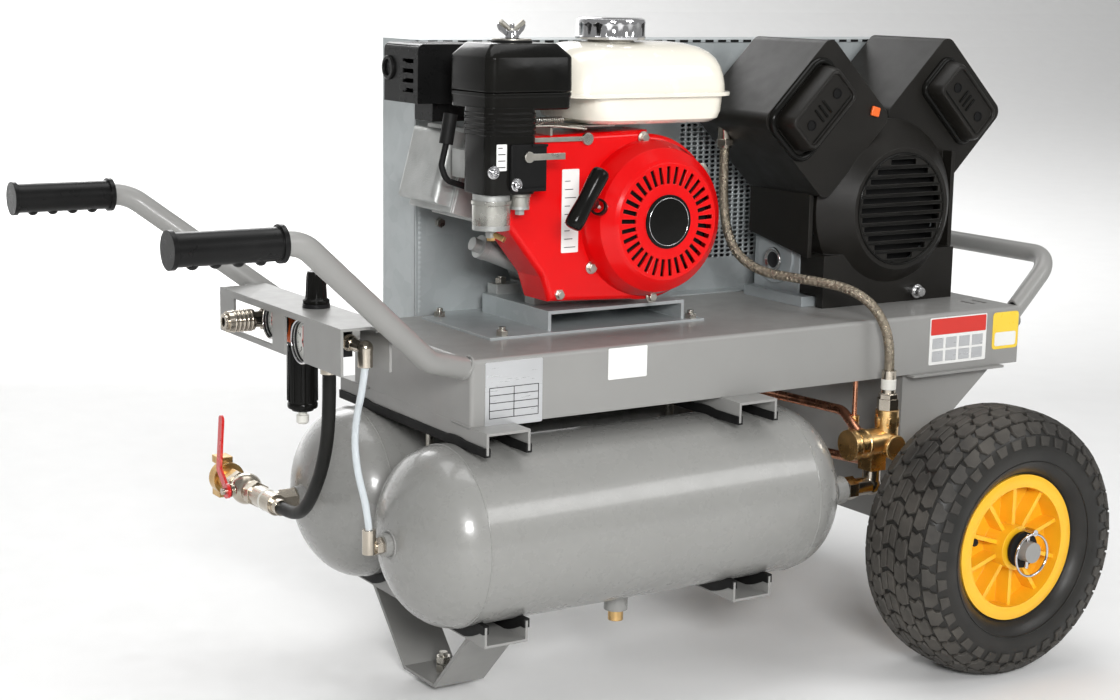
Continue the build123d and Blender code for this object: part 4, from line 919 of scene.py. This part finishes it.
# ---------------------------------------------------------------- engine
def make_fuel_tank():
    """Two pressed halves with a flange between them, and the filler neck."""
    cx, cy, half_x, half_y = 275, -13, 112, 75
    low_cx, low_half = 287, 99
    lower = [(0.74, 663.6, 26), (0.88, 664.6, 34), (0.945, 669, 34), (0.965, 677, 32), (0.97, 694, 30)]
    upper = [(1.0, 700, 32), (0.992, 709, 32), (0.98, 719, 33), (0.955, 729, 34), (0.91, 738, 35),
             (0.84, 745.5, 35), (0.74, 751, 34), (0.58, 755, 30), (0.4, 756.6, 24)]
    build = Build()
    rings = []
    for share, z, radius in lower:
        inset = (1 - share) * 90
        rings.append(rounded(low_half - inset, half_y - inset, radius, z, (low_cx, cy), 7))
    for out, z in ((0, 695.0), (5.6, 695.3), (6.0, 697.5), (5.6, 699.7), (0, 700.0)):
        step_in = 2 if out == 0 and z < 697 else 0
        rings.append(rounded(half_x + out - step_in, half_y + out, 33 + out, z, (cx, cy), 7))
    for share, z, radius in upper[1:]:
        inset = (1 - share) * 90
        rings.append(rounded(half_x - inset, half_y - inset, radius, z, (cx, cy), 7))
    build.rings(rings)
    build.lathe((256, -15, 752), (0, 0, 1), [(0, 30), (4, 29), (6.5, 26), (18, 25), (18, 22), (0, 22)],
                48, loop=True)
    build.piece("fuel_tank", "cream_paint", smooth=30, stands_for=["fuel_tank"])


def fluted(centre, levels, flutes, count):
    """Rings of points about an upright axis, with flutes cut in. A level is (z, radius, depth)."""
    rings = []
    for z, radius, depth in levels:
        ring = []
        for i in range(count):
            a = 2 * math.pi * i / count
            r = radius - depth * (0.5 + 0.5 * math.cos(flutes * a))
            ring.append((centre[0] + r * math.cos(a), centre[1] + r * math.sin(a), z))
        rings.append(ring)
    return rings


def make_fuel_cap():
    """The chromed cap: a fluted skirt under a plain domed top."""
    build = Build()
    levels = ((758.5, 38, 0), (759, 40.6, 0), (762, 41.2, 0), (763, 40.6, 0.7), (776, 40.6, 0.7),
              (778.5, 41, 0), (782, 39.8, 0), (784, 36, 0), (784.2, 12, 0))
    build.rings(fluted((256, -15), levels, 20, 120))
    build.piece("fuel_cap", "chrome", "fuel_cap", smooth=40, stands_for=["fuel_cap"])


def make_air_cleaner():
    """The air cleaner's lid and bowl, the rubber seat and the chromed wing nut."""
    centre = (99.5, -52.5)
    lid = Build()
    rings = [rounded(54.5, 46.5, 11, 704.2, centre), rounded(55.5, 47.5, 12, 705.5, centre)]
    rings += [rounded(55.0, 47.0, 12, 741, centre), rounded(54.0, 46.0, 12, 743.5, centre),
              rounded(43, 35, 9, 755.6, centre), rounded(41, 33, 8, 756.6, centre)]
    lid.rings(rings)
    lid.piece("air_cleaner", "black_gloss", bevel=1.2, smooth=24, stands_for=["air_cleaner"])
    bowl = Build()
    rings = [rounded(52, 44, 10, 684.5, centre), rounded(54.2, 46.2, 12, 686.5, centre),
             rounded(54.8, 46.8, 12, 699, centre), rounded(55.4, 47.4, 12, 700, centre),
             rounded(55.4, 47.4, 12, 703, centre), rounded(54.2, 46.2, 11, 703.8, centre)]
    bowl.rings(rings)
    bowl.piece("air_cleaner_bowl", "black_gloss", bevel=0.4, smooth=24)
    seat = Build()
    seat.lathe((100, -52, 756.4), (0, 0, 1), [(0, 23), (2, 23), (4.2, 21), (4.8, 10), (4.8, 0.01)], 48)
    seat.piece("wing_nut_seat", "rubber", smooth=40)
    nut = Build()
    nut.lathe((100, -52, 761), (0, 0, 1), [(0, 8), (2, 8.2), (9, 6.2), (10, 3.2), (16, 3.0), (16.6, 2),
                                           (16.6, 0.01)], 24)
    for side in (-1, 1):
        outline = [(4, 3), (9, 3.5), (16, 9), (18.5, 14), (17.5, 18), (13.5, 18.8), (10, 15.5), (7, 9),
                   (4, 8)]
        place = along_plane((100, -53.2, 761), (side, 0.25, 0), (0, 0, 1))
        nut.prism(outline, 0, 2.4 * side, place)
    nut.piece("wing_nut", "chrome", bevel=0.5, smooth=35)


def make_intake_duct():
    """The ribbed housing below the air cleaner, its choke panel and its two ringed screws."""
    centre, half_x, half_y = (76, -69), 32, 31
    build = Build()
    rings = [rounded(half_x - 1, half_y - 1, 10, 592.5, centre), rounded(half_x, half_y, 12, 594, centre)]
    for i in range(4):
        z = 657 + i * 6.5
        rings += [rounded(half_x + out, half_y + out, 12, z + rise, centre)
                  for out, rise in ((0, 0), (0.7, 1), (0.7, 4.5), (0, 5.5))]
    rings.append(rounded(half_x, half_y, 12, 687.6, centre))
    build.rings(rings)
    build.piece("intake_duct", "black_gloss", smooth=30, stands_for=["intake_duct"])
    panel = Build()
    frame_place = along_plane((0, -99, 0), *FACING_RIGHT)
    panel.rings([rounded(23, 26, 3, y, (93, 622)) for y in (0, 5)], place=frame_place)
    panel.box(78, 114, 596, 600, 5, 8, frame_place)
    panel.box(70.5, 74, 600, 646, 5, 6.5, frame_place)
    panel.box(96, 116, 645, 648, 5, 8, frame_place)
    panel.piece("choke_panel", "black_matt", bevel=0.8, smooth=30)
    for name, x, y, z in (("left", 50, -100.4, 618), ("right", 77, -104.4, 604)):
        washer = Build()
        washer.lathe((x, y, z), (0, -1, 0), [(0, 7.4), (1.2, 7.4), (2.0, 6.4), (2.0, 5.0), (0.8, 4.8),
                                             (0.8, 3.6), (3.4, 3.4), (4.0, 2.4), (3.2, 1.8), (3.2, 0.01)], 32)
        washer.piece(f"duct_screw_{name}", "chrome", smooth=30)
    tab = Build()
    tab.rings([rounded(6.5, 14.5, 1, z, (60, 634)) for z in (0, 0.5)],
              place=along_plane((0, -100.2, 0), *FACING_RIGHT))
    tab.piece("choke_plate", "label_white")
    marks = Build()
    place = along_plane((0, -100.2, 0), *FACING_RIGHT)
    for z in (624, 631, 638, 645):
        marks.box(55.5, 64.5 if z < 640 else 61, z - 1, z, 0.5, 0.7, place)
    marks.piece("choke_plate_rules", "ink_and_painted_shade")


def make_recoil():
    """The recoil cover's badge, screws and lower vents, with painted shade in the vents and behind them."""
    x, z = 283, 553
    badge = Build()
    badge.lathe((x, -103.8, z), (0, -1, 0), [(-1, 31.5), (0, 31.5), (0.8, 31), (1.1, 29), (1.2, 0.01)], 72)
    badge.piece("recoil_badge", "black_gloss", smooth=40)
    ring = Build()
    ring.tube(circle((x, -104.9, z), 27.5, (0, 1, 0), 72)[:-1], 0.45, 8, loop=True)
    ring.piece("recoil_badge_ring", "chrome", smooth=60)
    # Black strips on the cover: painted shade where the lower vents open.
    vents = Build()
    for start, sweep, radius in ((112, 34, 88.6), (118, 26, 84.6), (124, 18, 80.6), (206, 34, 88.6),
                                 (212, 26, 84.6)):
        depth = -60 - (91 - radius) * 2.6 - 2.2
        arc = circle((x, depth, z), radius, (0, -1, 0), 16, start=90 - start - sweep, sweep=sweep)
        vents.tube(arc, 1.3, 8)
    vents.piece("recoil_vent_shade", "ink_and_painted_shade", smooth=60)
    screws = Build()
    for angle in (35, 95, 215, 275):
        a = math.radians(angle)
        sx, sz = x + 94.5 * math.cos(a), z + 94.5 * math.sin(a)
        screws.lathe((sx, -60.4, sz), (0, -1, 0), [(0, 7.5), (1.2, 7.3), (1.2, 5.6), (5.6, 5.4),
                                                   (6, 4.8), (6, 0.01)], 6)
        screws.lathe((sx, -60.4, sz), (0, -1, 0), [(0, 7.5), (1.3, 7.3), (1.3, 0.01)], 28)
    screws.lathe((163, -60.4, 470), (0, -1, 0), [(0, 6.5), (1.2, 6.4), (1.2, 4.6), (5, 4.4), (5, 0.01)], 6)
    screws.piece("housing_screws", "zinc_bolt", smooth=35)
    # A black cone inside the cover: painted shade seen through the cover's slots.
    inner = Build()
    inner.lathe((x, -62, z), (0, -1, 0), [(0, 84), (2, 84), (22, 70), (32, 60), (32, 0.01)], 64)
    inner.piece("recoil_inner_shade", "ink_and_painted_shade", smooth=40)


def make_recoil_grip():
    """The starter grip: a moulded bar with a waist, a neck and the rope's first stretch."""
    seat, root = Vector((153, -130, 588)), Vector((192, -96, 573))
    along = Vector((0.52, 0, 0.85)).normalized()
    bar = Build()
    points = [seat + along * s for s in (-37.5, -37, -34, -24, -10, 0, 10, 24, 34, 37, 37.5)]
    sizes = [3, 8, 10.8, 11.2, 10.2, 9.8, 10.2, 11.2, 10.8, 8, 3]
    bar.tube(points, lambda share: sizes[int(round(share * 10))], 20)
    inward = (root - seat).normalized()
    neck = [seat + inward * s for s in (4, 9, 16, 24, 27)]
    widths = [8.0, 7.6, 7.0, 8.2, 7.6]
    bar.tube(neck, lambda share: widths[int(round(share * 4))], 20)
    bar.piece("recoil_grip", "black_gloss", "recoil_grip", smooth=50, subdivide=1,
              stands_for=["recoil_grip"])
    rope = Build()
    rope.tube([seat + inward * 26, root], 2.0, 10)
    rope.piece("recoil_rope", "white_plastic", "recoil_grip", smooth=60)
    guide = Build()
    guide.lathe(root + inward * -4, -inward, [(-6, 9.5), (0, 10), (3, 9.5), (3, 7), (-6, 7)], 32, loop=True)
    guide.piece("rope_guide", "black_gloss", smooth=40)


def make_engine_small_parts():
    """Carburettor fittings, governor rods, tank bracket and the muffler's outlet."""
    steel = Build()
    steel.tube([(108, -60, 664), (150, -62, 664), (196, -60, 659)], 1.4, 8)
    steel.tube([(100, -50, 655), (160, -40, 668), (225, -30, 668)], 1.2, 8)
    spring = [(120 + i / 4, -66 + 3.2 * math.cos(i * 0.55), 671 + 3.2 * math.sin(i * 0.55))
              for i in range(161)]
    steel.tube(spring, 0.6, 6)
    steel.box(150, 238, -56, -20, 661, 663)
    steel.box(150, 153, -56, -20, 651, 663)
    steel.piece("governor_rods", "zinc_bolt", smooth=50)
    bowl = Build()
    bowl.lathe((64, -72, 551.8), (0, 0, 1),
               [(0, 12), (1, 18), (6, 21.2), (28, 21.4), (29, 22.6), (33, 22.6)], 40)
    bowl.lathe((96, -80, 573.8), (0, 0, 1),
               [(0, 7), (1, 9), (4, 11.2), (14, 11.4), (15, 12.6), (18, 12.6)], 32)
    bowl.piece("float_bowl", "cover_steel", smooth=35)
    drain = Build()
    drain.lathe((64, -72, 539), (0, 0, 1), [(0, 4), (1, 5.2), (6, 5.2), (7, 6.4), (12.8, 6.4)], 6)
    drain.tube([(64, -72, 548), (72, -88, 542)], 3.4, 10)
    drain.piece("bowl_drain_plug", "brass", smooth=35)
    outlet = Build()
    outlet.lathe((24.4, 99.7, 723), (-1, 0, 0), [(-2, 14), (0.6, 14), (1.4, 13), (1.4, 9.6), (-1, 9)], 40,
                 loop=True)
    for row in range(4):
        outlet.rings([rounded(8.5, 3.4, 3.2, x, (65.6, 728 - row * 13)) for x in (0, 1.6)],
                     place=along_plane((25.9, 0, 0), (0, 1, 0), (0, 0, 1)))
    for slot in range(7):
        x = 30 + slot * 7.5
        outlet.box(x, x + 4, 58, 108, 739, 747.4)
    outlet.piece("muffler_louvres", "muffler_black", bevel=0.4, smooth=35)


# ---------------------------------------------------------------- pump
PUMP_X, PUMP_Z = 678, 545


def head_place(side, y):
    """A placement on one pump head's front: X across the head, Y outwards, Z towards -Y."""
    a = math.radians(45) * side
    out = Vector((math.sin(a), 0, math.cos(a)))
    across = Vector((math.cos(a), 0, -math.sin(a)))
    return along_plane((PUMP_X, y, PUMP_Z), across, out)


def make_filter_covers():
    """Each head's intake filter: a bowed cover with a recessed face, two deep holes drawn as black cups of
    painted shade, and ribs.
    """
    for name, side, front in (("left", -1, -48), ("right", 1, -8)):
        place = head_place(side, front)
        if side < 0:
            place = place @ Matrix.Translation((-10, 8, 0))
        cover = Build()
        rings = []
        for depth, hx, hy, r in ((-1, 52, 29, 12), (12, 52, 29, 12), (25, 50, 27, 11), (29, 47.5, 24.5, 9.5),
                                 (30, 45, 22, 8), (28.8, 43.5, 20.5, 7), (26.2, 43, 20, 7)):
            ring = []
            for x, y, z in rounded(hx, hy, r, depth, (0, 186), 6):
                ring.append((x, y + 3.0 * math.cos(x / 52 * math.pi / 2) * (1 if y > 186 else -0.2), z))
            rings.append(ring)
        cover.rings(rings, place=place)
        cover.piece(f"{name}_filter_cover", "black_satin", bevel=0.6, smooth=28,
                    stands_for=["intake_filters"])
        ribs = Build()
        for i in range(3):
            ribs.box(-12 + i * 8, -9.5 + i * 8, 176, 196, 26, 28.2, place)
        ribs.box(-40, 40, 168.2, 169.4, 26, 27.4, place)
        ribs.piece(f"{name}_filter_ribs", "black_gloss", bevel=0.4)
        # Black cups in the cover's face: painted shade in the two deep holes.
        holes = Build()
        for x in (-27, 27):
            holes.lathe(place @ Vector((x, 186, 26.0)), (0, -1, 0),
                        [(0, 6.6), (1.4, 6.6), (1.4, 5.6), (0.3, 5.4), (0.3, 0.01)], 28)
        holes.piece(f"{name}_filter_hole_shade", "ink_and_painted_shade", smooth=30)
        lip = Build()
        half_x, half_y, radius = (62, 42, 24) if side < 0 else (57, 34, 16)
        rows = [rounded(half_x + grow, half_y + grow, radius + grow, z, (-2 if side < 0 else 0, 186), 8)
                for grow, z in ((0, 0), (0, 4), (-1.5, 6.5), (-5, 7.5), (-8, 5), (-8.6, 0))]
        lip.rings(rows, caps=False, place=place)
        lip.piece(f"{name}_filter_lip", "black_gloss", smooth=60)


def make_shroud_details():
    """The grille's bars with a black disc of painted shade behind them, the big screw, the orange tab and the
    sight glass of the pump.
    """
    bars = Build()
    for i in range(12):
        z = PUMP_Z - 66 + i * 12
        half = math.sqrt(max(0, 70**2 - (z - PUMP_Z)**2))
        bars.box(PUMP_X - half, PUMP_X + half, -63.6, -61.5, z - 1.9, z + 1.2)
    bars.piece("grille_bars", "black_gloss", bevel=0.6)
    rim = Build()
    rim.tube(circle((PUMP_X, -62.2, PUMP_Z), 71, (0, 1, 0), 96)[:-1], 1.6, 10, loop=True)
    rim.piece("grille_rim", "black_gloss", smooth=60)
    # A black disc behind the grille: painted shade of the shroud's inside.
    back = Build()
    back.lathe((PUMP_X, -40, PUMP_Z), (0, -1, 0), [(0, 74), (1, 74), (1, 0.01)], 64)
    back.piece("grille_painted_shade", "ink_and_painted_shade")
    screw = Build()
    screw.lathe((722, -44, 434), (0, -1, 0), [(0, 9.5), (7, 9.5), (8, 8.6), (8, 6.5), (15, 6.5), (16.5, 5.4),
                                             (16.5, 0.01)], 28)
    screw.piece("shroud_screw", "bright_steel", smooth=35)
    tab = Build()
    tab.box(-6.5, 6.5, -6, 6, 0, 4, along_plane((637, -48, 669), (1, 0, -0.25), (0.25, 0, 1)))
    tab.piece("orange_tab", "orange_plastic", bevel=1.5)
    glass = Build()
    glass.lathe((554, 41, 474), (-1, 0, 0), [(0, 16.5), (2, 16), (3, 14.4), (0.6, 11.4), (0.6, 0.01)], 36)
    glass.piece("sight_glass_rim", "bright_steel", smooth=35)
    lens = Build()
    lens.lathe((553.6, 41, 474), (-1, 0, 0), [(0, 10.8), (0.8, 10), (1.4, 5), (1.5, 0.01)], 32)
    lens.piece("sight_glass", "regulator_black", smooth=60)


# ---------------------------------------------------------------- regulator, gauges and valves
def make_gauges():
    """White dials with ticks and plain numbers, and chromed bezels."""
    for name, y, z, radius in (("large", -50, 440, 24.5), ("small", 30, 449, 19)):
        place = along_plane((-152.1, y, z), *FACING_HANDLES)
        dial = Build()
        dial.lathe((-152.1, y, z), (-1, 0, 0), [(0, radius - 2.6), (0.3, radius - 2.6), (0.3, 0.01)], 48)
        dial.piece(f"{name}_dial", "white_dial", smooth=30)
        ticks = Build()
        for i in range(41):
            a = math.radians(225 - 270 * i / 40)
            length, half = (4.0, 0.3) if i % 5 == 0 else (2.2, 0.15)
            turn = place @ Matrix.Rotation(a, 4, "Z")
            outer = radius - 4.0
            ticks.box(outer - length, outer, -half, half, 0.3, 0.5, turn)
        ticks.piece(f"{name}_dial_ticks", "ink_and_painted_shade")
        for i in range(5):
            a = math.radians(225 - 270 * i / 4)
            data = bpy.data.curves.new(f"{name}_number_{i}", "FONT")
            data.body = str(i * 4)
            data.size = radius * 0.26 * MM
            data.align_x = data.align_y = "CENTER"
            data.extrude = 0.0001
            text = bpy.data.objects.new(f"{name}_number_{i}", data)
            text.data.materials.append(LOOKS["ink_and_painted_shade"])
            reach = radius - 11.0
            spot = place @ Vector((reach * math.cos(a), reach * math.sin(a), 0.4))
            text.matrix_world = Matrix.Translation(at(*spot)) @ place.to_3x3().to_4x4()
            bpy.context.scene.collection.objects.link(text)
            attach(text, "chassis")
        bezel = Build()
        bezel.lathe((-158.0, y, z), (-1, 0, 0), [(-3, radius + 0.2), (0.2, radius), (1.0, radius - 0.8),
                                               (0.6, radius - 2.2), (-3, radius - 2.6)], 56, loop=True)
        bezel.piece(f"{name}_bezel", "chrome", smooth=50)


def make_regulator_trim():
    """The orange collars of the filter and the regulator, and the black plug."""
    collar = Build()
    collar.box(-143.6, -106.4, -40, -1.8, 428, 461.5)
    collar.box(-143.6, -106.4, 0.2, 35.6, 428, 461.5)
    collar.piece("orange_body", "orange_plastic", bevel=1.5)
    plug = Build()
    plug.lathe((-143, -16, 446), (-1, 0, 0), [(-1, 9.5), (5, 9.5), (7, 9.0), (7.4, 7), (6.4, 6.4),
                                              (6.4, 0.01)], 40)
    plug.piece("regulator_plug", "black_gloss", smooth=35)
    knob = Build()
    levels = ((475.3, 14.5, 0), (479.3, 14.7, 0), (481, 12.2, 0), (483, 12.0, 0.8), (503, 11.0, 0.8),
              (507, 10.6, 0.2), (510.5, 9.6, 0), (511.3, 7, 0))
    knob.rings(fluted((-125, -20), levels, 16, 96))
    knob.piece("regulator_knob", "black_gloss", "regulator_knob", smooth=40, stands_for=["regulator_knob"])
    bowl = Build()
    for i in range(12):
        a = 2 * math.pi * i / 12
        x, y = -125 + 16.6 * math.cos(a), 17 + 16.6 * math.sin(a)
        bowl.tube([(x, y, 417), (x, y, 360)], 0.9, 8)
    bowl.lathe((-125, 17, 352), (0, 0, 1), [(0, 16.2), (1.5, 17.0), (5, 17.0), (6.5, 16.2)], 48, caps=False)
    bowl.piece("filter_bowl_ribs", "black_gloss", smooth=50)


def make_fittings():
    """Nuts, collars, bands and the valve's round boss on the air lines."""
    nuts = Build()
    for start, size, length in (((577, -165, 323), 11.5, 11), ((577, -165, 310), 12.4, 11),
                                ((484, 60, 622), 10.5, 9)):
        nuts.lathe(start, (0, 0, 1), [(0, size), (1, size + 0.8), (length - 1, size + 0.8),
                                      (length, size)], 6)
    nuts.piece("hose_nuts", "nickel", bevel=0.5, smooth=30)
    band = Build()
    band.lathe((577, -165, 338), (0, 0, 1), [(0, 8.6), (1, 9.4), (13, 9.4), (14, 8.6)], 40)
    band.lathe((-122, 119.5, 220), (0, 1, 0), [(0, 12.9), (4, 12.9)], 40)
    band.piece("white_bands", "white_plastic", smooth=30)
    boss = Build()
    boss.lathe((577, -184, 268), (0, -1, 0), [(-1, 15.8), (0, 15.8), (1.4, 14.8), (1.4, 12.8), (0.5, 12.2),
                                            (0.5, 0.01)], 48)
    boss.lathe((519, -165, 274), (1, 0, 0), [(0, 18), (3, 19.4), (6, 19.4), (8, 17.5), (20, 17.2), (21, 18.2),
                                            (24, 18.2), (25, 17.2)], 48)
    boss.lathe((577, -165, 292), (0, 0, 1), [(0, 15), (2, 16), (12, 16), (13, 15.2)], 6)
    boss.piece("valve_boss", "brass", bevel=0.5, smooth=30)
    ribs = Build()
    for x in (-186, -181, -176, -171, -166):
        ribs.lathe((x, 70, 446), (1, 0, 0), [(0, 12.2), (0.8, 12.7), (2.2, 12.7), (3, 12.2)], 40,
                   caps=False)
    ribs.piece("sleeve_ribs", "nickel", "coupling_sleeve", smooth=40)


# ---------------------------------------------------------------- the whole machine
make_looks()
make_camera()
make_stage()
paint_nodes()
make_hoses()
make_braid()
make_wheels()
make_welds()
make_labels()
make_guard_plate()
make_guard_trim()
make_fuel_tank()
make_fuel_cap()
make_air_cleaner()
make_intake_duct()
make_recoil()
make_recoil_grip()
make_engine_small_parts()
make_filter_covers()
make_shroud_details()
make_gauges()
make_regulator_trim()
make_fittings()
